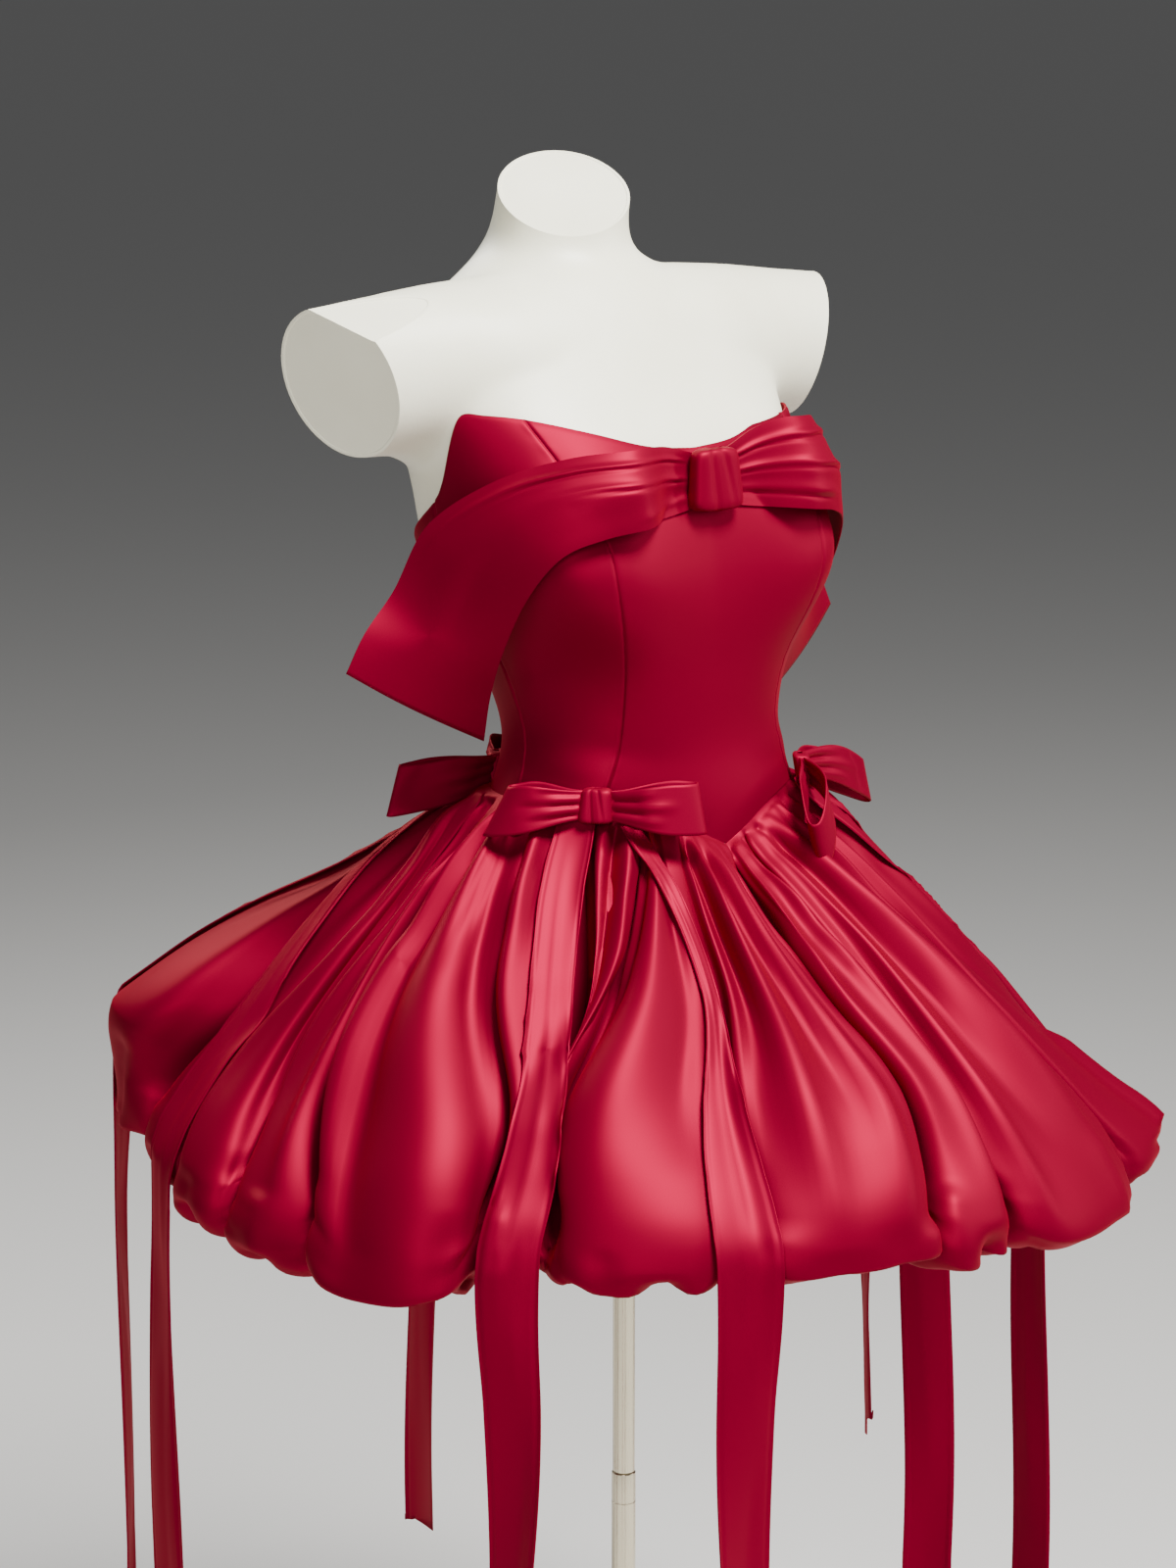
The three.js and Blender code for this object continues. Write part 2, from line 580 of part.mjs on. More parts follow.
// A knot: an upright lump of wrapped ribbon with two grooves down its face
function knot(name, middle, side, up, out, size) {
  const rings = [];
  for (const t of [-0.98, -0.72, 0, 0.72, 0.98]) {
    const swell = (1 - Math.abs(t) ** 3.2) ** 0.42;
    rings.push(
      Array.from({ length: 18 }, (_, i) => {
        const a = (2 * Math.PI * i) / 18;
        const round = (Math.abs(Math.cos(a)) ** 2.6 + Math.abs(Math.sin(a)) ** 2.6) ** (-1 / 2.6);
        const groove = Math.cos(a) > 0 ? 1 - 0.07 * Math.cos(Math.sin(a) * 9.4) : 1;
        return middle
          .clone()
          .addScaledVector(up, size.tall * t)
          .addScaledVector(side, size.wide * round * Math.sin(a) * swell)
          .addScaledVector(out, size.deep * round * Math.cos(a) * swell * groove);
      }),
    );
  }
  return loft(name, rings, CRIMSON, 0.4);
}

// Chest bow: a band with a standing flap on each side, and the knot between them
const knotAt = vec(0, -130, CHEST_KNOT.z);
const chestKnot = knot("chest_knot", knotAt, vec(1, 0, 0), vec(0, 0.06, 1).normalize(), vec(0, -1, 0), CHEST_KNOT);
const knotPoints = chestKnot.geometry.getAttribute("position");
let seat = Infinity; // how far back the knot can go before it meets the bodice
for (let i = 0; i < knotPoints.count; i += 1) {
  const [x, y, z] = [knotPoints.getX(i), knotPoints.getY(i), knotPoints.getZ(i)];
  for (const nearby of [-4, 0, 4]) {
    const angle = (Math.asin((x + nearby) / 125) * 180) / Math.PI;
    seat = Math.min(seat, bodyPoint(angle, z, BODICE_OUT).y - y);
  }
}
chestKnot.geometry.translate(0, seat - 0.5, 0);
parts.push(chestKnot);
function clearOfBody(p, out) {
  const z = Math.min(Math.max(p.z, 1008), 1300);
  const mid = column(TORSO, "z", "mid", z);
  const angle = (Math.atan2(p.x, -(p.y - mid)) * 180) / Math.PI;
  const need = torsoRadius(angle, z) + BODICE_OUT + out;
  const have = Math.hypot(p.x, p.y - mid);
  if (have >= need) return p;
  return vec((p.x * need) / have, mid + ((p.y - mid) * need) / have, p.z);
}
function chestBand(name, side) {
  const [faces, down] = [14, 5];
  const grid = [];
  for (let i = 0; i <= faces; i += 1) {
    const s = i / faces;
    const at = (want) => column(BAND, "s", want, s);
    const line = [];
    for (let j = 0; j <= down; j += 1) {
      const v = j / down;
      const p = vec(mix(at("ux"), at("lx"), v), mix(at("uy"), at("ly"), v), mix(at("uz"), at("lz"), v));
      const away = vec(p.x, p.y - 20, 0).normalize();
      const pleat = 1.6 * Math.cos(4 * Math.PI * v) * (1 - ease((s - 0.5) / 0.5));
      p.addScaledVector(away, at("puff") * Math.sin(Math.PI * v) + pleat);
      line.push(clearOfBody(p, BAND_CLOTH + 0.4));
    }
    grid.push(line);
  }
  const outer = grid.map((line) => line.map((p) => vec(side * -p.x, p.y, p.z)));
  const inner = outer.map((line, i) =>
    line.map((p, k) => {
      const across = vec(0, 0, 0).subVectors(outer[Math.min(i + 1, faces)][k], outer[Math.max(i - 1, 0)][k]);
      const fall = vec(0, 0, 0).subVectors(line[Math.min(k + 1, down)], line[Math.max(k - 1, 0)]);
      const normal = vec(0, 0, 0).crossVectors(across, fall).normalize();
      return p.clone().addScaledVector(normal, side * BAND_CLOTH);
    }),
  );
  return wall(name, outer, inner, CRIMSON);
}
parts.push(chestBand("chest_band_right", -1), chestBand("chest_band_left", 1));

// Waist bows: two open loops and a knot each
function bowLoop(name, middle, side, up, out, droop, bend) {
  const around = 12;
  const halves = [-1, 0, 1];
  const start = BOW_KNOT.wide + SEAM_GAP;
  const place = (x, e, up01) => {
    const far = (x - start) / LOOP.long;
    const tall = mix(LOOP.half_tall_knot, LOOP.half_tall_end, ease(far * 1.3));
    return middle
      .clone()
      .addScaledVector(side, x)
      .addScaledVector(out, e - bend * far * far)
      .addScaledVector(up, up01 * tall - droop * far * far);
  };
  const ring = (inset) =>
    Array.from({ length: around }, (_, i) => {
      const a = (2 * Math.PI * i) / around;
      const x = start + inset * 1.6 + (LOOP.long - 3.2 * inset) * (0.5 - 0.5 * Math.cos(a));
      const open = 0.36 + 0.64 * ease((x - start) / LOOP.long / 0.6);
      const e = (LOOP.half_deep * open - inset) * Math.sign(Math.sin(a)) * Math.abs(Math.sin(a)) ** 0.8;
      return { x, e };
    });
  const push = (p) => {
    const angle = (Math.atan2(p.x, -(p.y - SKIRT_AXIS_Y)) * 180) / Math.PI;
    return Math.max(0, standOut(angle, p.z) + LOOP_CLEAR - Math.hypot(p.x, p.y - SKIRT_AXIS_Y));
  };
  // The loop swings out from its knot until all of it is clear of the cloth
  const outerRing = ring(0);
  const farOf = (x) => (x - start) / LOOP.long;
  const needs = outerRing.map(({ x, e }) => Math.max(...halves.map((h) => push(place(x, e, h)))));
  const swing = Math.max(...needs.map((need, i) => need / Math.max(0.25, farOf(outerRing[i].x))));
  const build = (points) =>
    points.map(({ x, e }) =>
      halves.map((h) => place(x, e, h).addScaledVector(out, swing * farOf(x))),
    );
  return wall(name, build(outerRing), build(ring(RIBBON_CLOTH)), CRIMSON, true);
}
for (const bow of BOWS) {
  const out = heading(bow.angle);
  const up = vec(0, 0, 1).addScaledVector(out, -0.22).normalize();
  const side = heading(bow.angle + 90);
  const face = Math.max(...[-8, 0, 8].map((dz) => standOut(bow.angle, bow.z + dz)));
  const centre = face + bow.seat + BOW_KNOT.deep;
  const middle = out.clone().multiplyScalar(centre).add(vec(0, SKIRT_AXIS_Y, bow.z));
  parts.push(
    knot(bow.name + "_knot", middle, side, up, out, BOW_KNOT),
    bowLoop(bow.name + "_loop_a", middle, side.clone().negate(), up, out, bow.droop_a, bow.bend_a),
    bowLoop(bow.name + "_loop_b", middle, side, up, out, bow.droop_b, bow.bend_b),
  );
}

// The height of one of the skirt's rows at an angle
function rowHeight(k, angle) {
  for (let i = 0; i < skirtCount; i += 1) {
    const [a, c] = [polar[i][k], polar[(i + 1) % skirtCount][k]];
    const span = wrap(c.a - a.a);
    const f = span ? wrap(angle - a.a) / span : 0;
    if (f >= 0 && f <= 1) return mix(a.z, c.z, f);
  }
  return PROFILE[k].z;
}

// Ribbon tails: laid on the skirt from the knot down, then hanging free from its widest line
function tail(row) {
  const path = table(["z", "a"], [740, row.a740], [825, row.a825], [895, row.a895], [962, row.a962],
    [1010, row.start]);
  const angleAt = (z) => column(path, "z", "a", z);
  const heights = [1011, 1005];
  for (let k = 1; k <= 10; k += 1) {
    let z = PROFILE[k].z;
    for (let pass = 0; pass < 4; pass += 1) z = rowHeight(k, angleAt(z));
    if (z < heights[heights.length - 1] - 2.5) heights.push(z);
  }
  heights.push(...TAIL_HANG_Z, row.end);
  const rows = heights.map((z) => {
    const angle = angleAt(z);
    const width = mix(row.folded, RIBBON_WIDTH, ease((900 - z) / 150));
    const spread = ((width / 2 / Math.max(120, standOut(angle, z, true))) * 180) / Math.PI;
    const reach = [-1, 0, 1].map((side) => standOut(angle + side * spread, z, true));
    reach[1] = Math.max(reach[1], (reach[0] + reach[2]) / 2);
    return { z, angle, width, spread, reach };
  });
  // Raise the ribbon wherever the skirt would show through between its points
  for (let pass = 0; pass < 4; pass += 1) {
    for (let k = 0; k < rows.length - 4; k += 1) {
      const [a, b] = [rows[k], rows[k + 1]];
      for (let m = 0; m <= 12; m += 1) {
        const t = m / 12;
        for (let n = -11; n <= 11; n += 1) {
          const across = n / 10.8;
          const half = across < 0 ? 0 : 1;
          const f = clamp01(across < 0 ? 1 + across : across);
          const [ra, rb, rc, rd] = [a.reach[half], a.reach[half + 1], b.reach[half + 1], b.reach[half]];
          const have = f >= t ? ra + f * (rb - ra) + t * (rc - rb) : ra + t * (rd - ra) + f * (rc - rd);
          const angle = mix(a.angle + across * a.spread, b.angle + across * b.spread, t);
          const short = standOut(angle, mix(a.z, b.z, t), true) - have;
          if (short <= 0) continue;
          for (const line of t < 0.1 ? [a] : t > 0.9 ? [b] : [a, b]) {
            line.reach[half] += short;
            line.reach[half + 1] += short;
          }
        }
      }
    }
  }
  const outer = [[], [], []];
  const inner = [[], [], []];
  rows.forEach(({ z, angle, width, spread, reach }, k) => {
    const turn = row.twist * ease((700 - z) / 260);
    const flat = Math.max(...rows.slice(0, k + 1).flatMap((line) => line.reach)) + row.clear;
    const loose = ease((735 - z) / 110);
    [-1, 0, 1].forEach((side, n) => {
      const laid = heading(angle + side * spread).multiplyScalar(mix(reach[n] + row.clear, flat, loose));
      const aside = heading(angle + 90 + turn).multiplyScalar((side * width) / 2);
      const p = laid.lerp(heading(angle).multiplyScalar(flat).add(aside), loose);
      const tip = k === rows.length - 1 ? side * row.slant : 0;
      p.add(vec(0, SKIRT_AXIS_Y, z + tip));
      inner[n].push(p);
      outer[n].push(p.clone().addScaledVector(heading(angle + turn * loose), RIBBON_CLOTH));
    });
  });
  return wall(row.name, outer, inner, CRIMSON);
}
for (const row of TAILS) parts.push(tail(row));

const group = new THREE.Group();
group.name = "homecoming_dress";
for (const mesh of parts) group.add(mesh);
export default group;
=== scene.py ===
"""Crimson satin homecoming dress on a limbless dress form: the looks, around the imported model.

Shapes are worked out in millimetres from named sizes and short tables, the same ones that the
solids were made from, and are turned to metres when they become a mesh. Angles are in degrees,
counted from the centre front (-Y) round towards the wearer's left (+X).
"""
import math
import random

import bmesh
import bpy
import numpy as np
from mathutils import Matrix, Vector


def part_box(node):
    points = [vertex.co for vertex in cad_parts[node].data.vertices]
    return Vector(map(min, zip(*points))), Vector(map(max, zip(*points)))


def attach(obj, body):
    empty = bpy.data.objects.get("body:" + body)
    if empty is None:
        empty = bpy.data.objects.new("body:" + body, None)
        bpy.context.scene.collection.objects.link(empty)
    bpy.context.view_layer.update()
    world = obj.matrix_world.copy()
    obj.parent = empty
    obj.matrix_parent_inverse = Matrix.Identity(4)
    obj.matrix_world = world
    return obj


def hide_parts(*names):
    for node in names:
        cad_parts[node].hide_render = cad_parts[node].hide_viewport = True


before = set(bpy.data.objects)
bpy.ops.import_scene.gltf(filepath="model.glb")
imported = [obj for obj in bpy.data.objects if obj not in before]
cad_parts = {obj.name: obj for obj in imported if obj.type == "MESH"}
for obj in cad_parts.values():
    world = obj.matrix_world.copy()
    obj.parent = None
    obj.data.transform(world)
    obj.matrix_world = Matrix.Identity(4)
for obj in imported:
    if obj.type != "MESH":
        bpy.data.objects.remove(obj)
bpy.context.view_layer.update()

bl_info = {
    "name": "Homecoming dress on a form",
    "version": (1, 0, 0),
    "blender": (4, 5, 0),
    "location": "View3D > Sidebar > Dress",
    "description": "Builds the satin dress, its form, its stand and a plain studio",
    "category": "Object",
}

# Driving sizes, in millimetres
BODICE_CLOTH = 2.0
SKIRT_CLOTH = 1.6
RIBBON_CLOTH = 1.2
BAND_CLOTH = 1.8
CHEST_KNOT_CLOTH = 1.4
WALL_INSET = 0.2  # a visible wall is this much thinner than its solid, so it stays inside
SEAM_TUCK = 1.2  # how far the skirt's raw edge runs up inside the bodice
SEAM_GAP = 0.3
FORM_GAP = 0.9
BUST_EASE = 2.6  # the form gives way under the bust by this much
BODICE_OUT = FORM_GAP + BODICE_CLOTH
RIBBON_WIDTH = 44
SKIRT_AXIS = np.array([0.0, -5.0, 0.0])
PLEAT_DEPTH = 5
PINCH = 0.86  # how steeply the walls of a fold fall into it
LOBE_FULLNESS = 0.56  # the power of the lobes' round section; a smaller one is fuller
CREASES_CRISP = 1.4  # how much deeper the long creases are than their table says, and narrower
TUCKS_CRISP = 1.35
VALLEY_DEEPER = (1.2, 0.9)  # how much deeper the folds are than their solid's, above and at the hem
POLE_JOINT_Z = 429
POLE_UPPER_RADIUS = 9
POLE_LOWER_RADIUS = 9.75
BASE_RADIUS = 160
BASE_THICK = 8
BOSS_RADIUS = 24
BOSS_HEIGHT = 26
COLLAR_HEIGHT = 26  # the screwed collar at the pole's joint, ended by a fine groove
GROOVE_DEPTH = 0.35
TORSO_BOTTOM_Z = 812
FLANGE_HEIGHT = 30
FLANGE_RADIUS = 50
FLANGE_NECK_RADIUS = 20
FLANGE_SLOPE = 6  # the flange's neck ends this far below its top
NECK_CUT_Z = 1457
NECK_CUT_FACES = (-0.24, -0.47, 0.85)
NECK_AXIS_Y = 74
STUMP_CUT = (232, 55, 1327)
STUMP_CUT_FACES = (1, -0.34, -0.28)
STUMP_SPARE = 14  # the stumps run on this far past their cut before it is made
LOOP_START = 9.8
LOOP_LONG = 78
LOOP_HALF_TALL = (11, 19)
LOOP_HALF_DEEP = 9.5
LOOP_FLAT_WIDTH = 36
BOW_KNOT = {"wide": 12.5, "tall": 13.5, "deep": 7}
BOW_LEAN = 0.22  # the bows lean back with the slope that they sit on
CHEST_KNOT = {"wide": 22.5, "tall": 24, "deep": 9}
CHEST_KNOT_Z = 1252
LEFT_BAND_LIFT = 13  # the band's upper edge stands higher on the wearer's left


def table(names, *lines):
    """A short table as one array for each of its named columns."""
    return {name: np.array(values) for name, values in zip(names.split(), zip(*lines))}


# The form's body, a section for each height
TORSO = table(
    "z half mid front back power",
    (800, 145, -15, 98, 100, 2.2),
    (840, 160, -15, 106, 109, 2.2),
    (880, 162, -15, 108, 110, 2.2),
    (920, 157, -16, 105, 106, 2.2),
    (950, 148, -17, 101, 100, 2.2),
    (1000, 127, -19, 94, 90, 2.2),
    (1050, 113, -19, 85, 85, 2.2),
    (1100, 121, -8, 95, 91, 2.25),
    (1150, 139, 8, 113, 102, 2.3),
    (1190, 154, 22, 124, 109, 2.3),
    (1240, 160, 32, 123, 109, 2.3),
    (1280, 167, 40, 112, 104, 2.3),
    (1310, 172, 48, 95, 96, 2.3),
    (1340, 166, 55, 82, 87, 2.3),
    (1370, 138, 62, 71, 80, 2.25),
    (1392, 98, 68, 62, 76, 2.15),
    (1410, 64, 80, 58, 66, 2.05),
    (1428, 54, 79, 53, 58, 2),
    (1455, 52, 74, 51, 54, 2),
    (1540, 51, 60, 51, 51, 2),
)
BUST = {"angle": 43, "spread": 22, "z": 1186, "tall": 66, "rise": 31}
# The shoulder stumps, a leaning section for each distance out to the side
STUMP = table(
    "x z tall mid deep lean yaw",
    (40, 1298, 104, 50, 80, 0, 0),
    (100, 1310, 89, 52, 73, 0, 0),
    (145, 1321, 74, 55, 63, 0.08, 0.12),
    (190, 1328, 61, 56, 55, 0.18, 0.26),
    (232, 1327, 57, 55, 48, 0.28, 0.34),
)
TOP_EDGE = table(
    "angle z",
    (0, 1273), (20, 1277), (40, 1289), (59, 1300), (69, 1303), (74, 1303), (77, 1292),
    (85, 1252), (92, 1232), (110, 1206), (135, 1181), (180, 1165),
)
# The wearer's left peak stands lower: this share of what is above this height is taken off
LEFT_PEAK_DROP = 0.75
LEFT_PEAK_FROM = 1284
WAIST_SEAM = table(
    "angle z",
    (0, 972), (12, 983), (25, 995), (40, 1003), (56, 1006), (90, 1008), (135, 1006), (180, 1004),
)
BODICE_SEAMS = table(
    "z princess side back centre",
    (970, 57, 90, 130, 180),
    (1005, 56, 90, 130, 180),
    (1050, 50, 90, 131, 180),
    (1120, 41, 90, 133, 180),
    (1190, 38, 91, 136, 180),
    (1220, 40, 91, 138, 180),
    (1260, 48, 91, 139, 180),
    (1301, 59, 92, 140, 180),
)
BODICE_PANELS = (
    ("bodice_front", "princess", "princess", -1, 1),
    ("bodice_side_front_left", "princess", "side", 1, 1),
    ("bodice_side_front_right", "side", "princess", -1, -1),
    ("bodice_side_back_left", "side", "back", 1, 1),
    ("bodice_side_back_right", "back", "side", -1, -1),
    ("bodice_back_left", "back", "centre", 1, 1),
    ("bodice_back_right", "centre", "back", -1, -1),
)

# The skirt's profile from the waist seam out, down, under and up to the inner hem edge
PROFILE = table(
    "row z r fold gather lobe puff lift seam",
    (0, 1004, 126, 0, 0, 0, 0, 0, 1),
    (1, 997, 136, 0.05, 0.12, 0, 0, 0, 1),
    (2, 983, 154, 0.16, 0.7, 0, 0.08, 0, 1),
    (3, 956, 184, 0.34, 1, 0, 0.3, 0, 0.8),
    (4, 924, 216, 0.5, 0.95, 0.08, 0.45, 0, 0.6),
    (5, 888, 251, 0.66, 0.75, 0.25, 0.75, 0, 0.4),
    (6, 850, 286, 0.82, 0.5, 0.45, 1, 0, 0.2),
    (7, 812, 320, 0.94, 0.28, 0.65, 1, 0, 0),
    (8, 778, 352, 1, 0.12, 0.85, 0.8, 0.05, 0),
    (9, 748, 377, 1, 0.04, 1, 0.4, 0.2, 0),
    (10, 722, 389, 0.96, 0, 1, 0.1, 0.4, 0),
    (11, 703, 383, 0.9, 0, 1, 0, 0.5, 0),
    (12, 694, 364, 0.8, 0, 1, 0, 0.5, 0),
    (13, 696, 338, 0.65, 0, 0.9, 0, 0.4, 0),
    (14, 706, 310, 0.5, 0, 0.7, 0, 0.2, 0),
    (15, 726, 284, 0.35, 0, 0.5, 0, 0, 0),
)
LAST_ROW = 15
FOLD_Z = np.array([740, 820, 900, 980])
# Each row is one main fold and the lobe of cloth that follows it
FOLDS = table(
    "name hem low high top deep reach rise puff pleats",
    ("back_centre", -180, -181, -180, -180, 40, 6, 4, 8, 1),
    ("back_right", -160, -159, -161, -160, 44, 10, -6, 4, 1),
    ("right_great", -142, -140, -142, -141, 46, 6, 42, 68, 0),
    ("right_ridge", -120, -117, -122, -122, 44, -4, 16, 6, 0),
    ("right_narrow", -106, -108, -104, -110, 34, 4, 2, 4, 0),
    ("right_hung", -93, -98, -99, -101, 40, 2, -4, 0, 1),
    ("right_front", -78, -86, -90, -91, 42, 12, -3, 14, 2),
    ("bow_right", -57, -58, -67, -73, 52, -14, 18, -4, 1),
    ("bow_fold", -53, -53, -50, -54, 36, -18, 24, -4, 0),
    ("front_right", -50, -50, -43, -36, 46, 2, 14, 8, 1),
    ("front_valley", -27, -28, -25, -28, 60, 4, 16, 10, 2),
    ("front_left", -4, 1, -3, -2, 42, 2, 2, 2, 0),
    ("left_front", 8, 10, 11, 9, 48, 10, -8, 6, 2),
    ("left_turn", 40, 38, 36, 34, 34, 32, -22, -10, 1),
    ("left_bow", 61, 59, 57, 56, 44, 6, -4, 4, 1),
    ("left_side", 78, 77, 76, 75, 38, 0, 4, 6, 0),
    ("left_back", 92, 91, 91, 91, 42, 8, -6, 6, 1),
    ("left_deep", 109, 110, 109, 108, 46, 4, 6, 8, 0),
    ("back_bow", 124, 125, 123, 122, 42, 10, 0, 12, 1),
    ("back_turn", 143, 142, 143, 142, 38, 4, 6, 2, 1),
    ("back_left", 161, 162, 160, 161, 44, 8, -4, 8, 1),
)
FOLD_NAMES = list(FOLDS["name"])
FOLD_COUNT = len(FOLD_NAMES)
SKIRT_PANELS = (
    ("skirt_front", "bow_fold", "left_bow"),
    ("skirt_left", "left_bow", "back_bow"),
    ("skirt_back", "back_bow", "right_ridge"),
    ("skirt_right", "right_ridge", "bow_fold"),
)
# The skirt's creases, lobe by lobe. start and end say where across the lobe a crease begins and
# ends, first and last are profile rows, left and right are its flanks' widths and deep its
# height, in millimetres at its widest; below zero it is a trough.
SKIRT_CREASES = table(
    "lobe start end first last left right deep",
    ("back_centre", 0.2, 0.26, 0.6, 8.4, 16, 9, 7),
    ("back_centre", 0.46, 0.5, 0.8, 6.2, 12, 14, -6),
    ("back_centre", 0.72, 0.64, 0.6, 9.6, 10, 18, 8),
    ("back_right", 0.24, 0.2, 0.8, 6.6, 12, 12, 6),
    ("back_right", 0.5, 0.56, 0.5, 9.8, 18, 10, 8),
    ("back_right", 0.78, 0.82, 0.9, 7.4, 12, 10, -6),
    ("right_great", 0.3, 0.24, 1.6, 10.4, 26, 16, 7),
    ("right_great", 0.52, 0.5, 0.6, 5.4, 12, 16, -5),
    ("right_great", 0.8, 0.74, 2.4, 9.4, 16, 20, 5),
    ("right_ridge", 0.34, 0.42, 0.5, 9.6, 16, 9, 8),
    ("right_ridge", 0.7, 0.68, 0.8, 7.2, 9, 11, -7),
    ("right_narrow", 0.3, 0.42, 0.5, 10.2, 13, 8, 7),
    ("right_narrow", 0.72, 0.78, 1.2, 8.6, 8, 8, -5),
    ("right_hung", 0.32, 0.3, 0.6, 8.2, 12, 9, 7),
    ("right_hung", 0.66, 0.58, 1, 10.4, 9, 13, 8),
    ("right_front", 0.1, 0.1, 0.5, 8.2, 12, 8, 6),
    ("right_front", 0.24, 0.27, 0.6, 8.8, 16, 11, 9),
    ("right_front", 0.37, 0.4, 0.8, 11, 14, 20, -11),
    ("right_front", 0.56, 0.63, 0.6, 10, 36, 26, 8),
    ("right_front", 0.74, 0.8, 1.6, 8.8, 14, 18, -5),
    ("right_front", 0.9, 0.92, 0.6, 7.6, 9, 9, 6),
    ("bow_right", 0.3, 0.3, 0.4, 7.4, 9, 9, 6),
    ("bow_right", 0.62, 0.66, 0.5, 8.6, 9, 9, -6),
    ("bow_fold", 0.2, 0.24, 0.4, 6.4, 8, 7, 7),
    ("bow_fold", 0.5, 0.5, 0.5, 8.8, 7, 9, -7),
    ("bow_fold", 0.76, 0.74, 0.4, 6.8, 8, 8, 7),
    ("front_right", 0.16, 0.14, 0.6, 7, 14, 12, -6),
    ("front_right", 0.42, 0.36, 0.8, 9.4, 34, 26, 8),
    ("front_right", 0.64, 0.66, 1.6, 8.2, 20, 22, -4),
    ("front_right", 0.86, 0.84, 0.6, 10, 18, 12, 6),
    ("front_valley", 0.09, 0.1, 0.3, 9.6, 9, 6, 7),
    ("front_valley", 0.2, 0.24, 0.5, 8.4, 12, 7, 8),
    ("front_valley", 0.28, 0.33, 0.9, 6.8, 7, 8, -6),
    ("front_valley", 0.37, 0.45, 0.3, 9.8, 15, 8, 10),
    ("front_valley", 0.47, 0.56, 1.1, 7.8, 8, 10, -7),
    ("front_valley", 0.55, 0.66, 0.4, 10.2, 13, 9, 9),
    ("front_valley", 0.66, 0.78, 0.7, 8.2, 10, 8, 7),
    ("front_valley", 0.8, 0.9, 0.3, 8.8, 9, 6, 7),
    ("front_left", 0.28, 0.3, 0.4, 8.6, 9, 7, 7),
    ("front_left", 0.6, 0.62, 0.5, 10.2, 9, 10, 8),
    ("left_front", 0.1, 0.12, 0.4, 8.8, 10, 7, 7),
    ("left_front", 0.24, 0.27, 0.5, 10.4, 16, 10, 10),
    ("left_front", 0.36, 0.42, 0.9, 8.6, 12, 14, -9),
    ("left_front", 0.5, 0.58, 0.4, 9.4, 20, 12, 9),
    ("left_front", 0.64, 0.72, 0.8, 7.4, 10, 12, -6),
    ("left_front", 0.8, 0.84, 0.4, 8.8, 12, 9, 7),
    ("left_turn", 0.2, 0.2, 0.4, 9.4, 14, 10, 7),
    ("left_turn", 0.42, 0.5, 0.6, 7.6, 12, 12, -7),
    ("left_turn", 0.62, 0.6, 6.8, 11.4, 7, 14, 8),
    ("left_turn", 0.74, 0.78, 0.5, 8.4, 16, 10, 8),
    ("left_bow", 0.24, 0.3, 0.5, 8.8, 12, 9, 7),
    ("left_bow", 0.5, 0.54, 0.8, 6.6, 9, 10, -6),
    ("left_bow", 0.76, 0.72, 0.4, 9.6, 9, 14, 8),
    ("left_side", 0.34, 0.4, 0.5, 9.8, 14, 8, 7),
    ("left_side", 0.7, 0.72, 0.9, 7, 9, 9, -6),
    ("left_back", 0.2, 0.26, 0.4, 8, 12, 9, 7),
    ("left_back", 0.48, 0.5, 0.7, 9.8, 18, 12, 8),
    ("left_back", 0.78, 0.8, 0.9, 6.8, 9, 9, -6),
    ("left_deep", 0.3, 0.3, 0.5, 7.6, 12, 9, 7),
    ("left_deep", 0.64, 0.6, 0.8, 9.8, 9, 13, 7),
    ("back_bow", 0.16, 0.18, 0.5, 8.6, 12, 8, 7),
    ("back_bow", 0.38, 0.42, 0.9, 9.6, 20, 12, 9),
    ("back_bow", 0.6, 0.62, 0.7, 7, 12, 10, -7),
    ("back_bow", 0.82, 0.8, 0.4, 8.6, 10, 10, 6),
    ("back_turn", 0.26, 0.3, 0.5, 8.6, 12, 9, 7),
    ("back_turn", 0.66, 0.64, 0.6, 7, 9, 14, -6),
    ("back_left", 0.22, 0.24, 0.4, 7.4, 12, 9, 7),
    ("back_left", 0.52, 0.48, 0.7, 9.6, 18, 12, 8),
    ("back_left", 0.8, 0.78, 0.9, 6.4, 9, 10, -6),
)
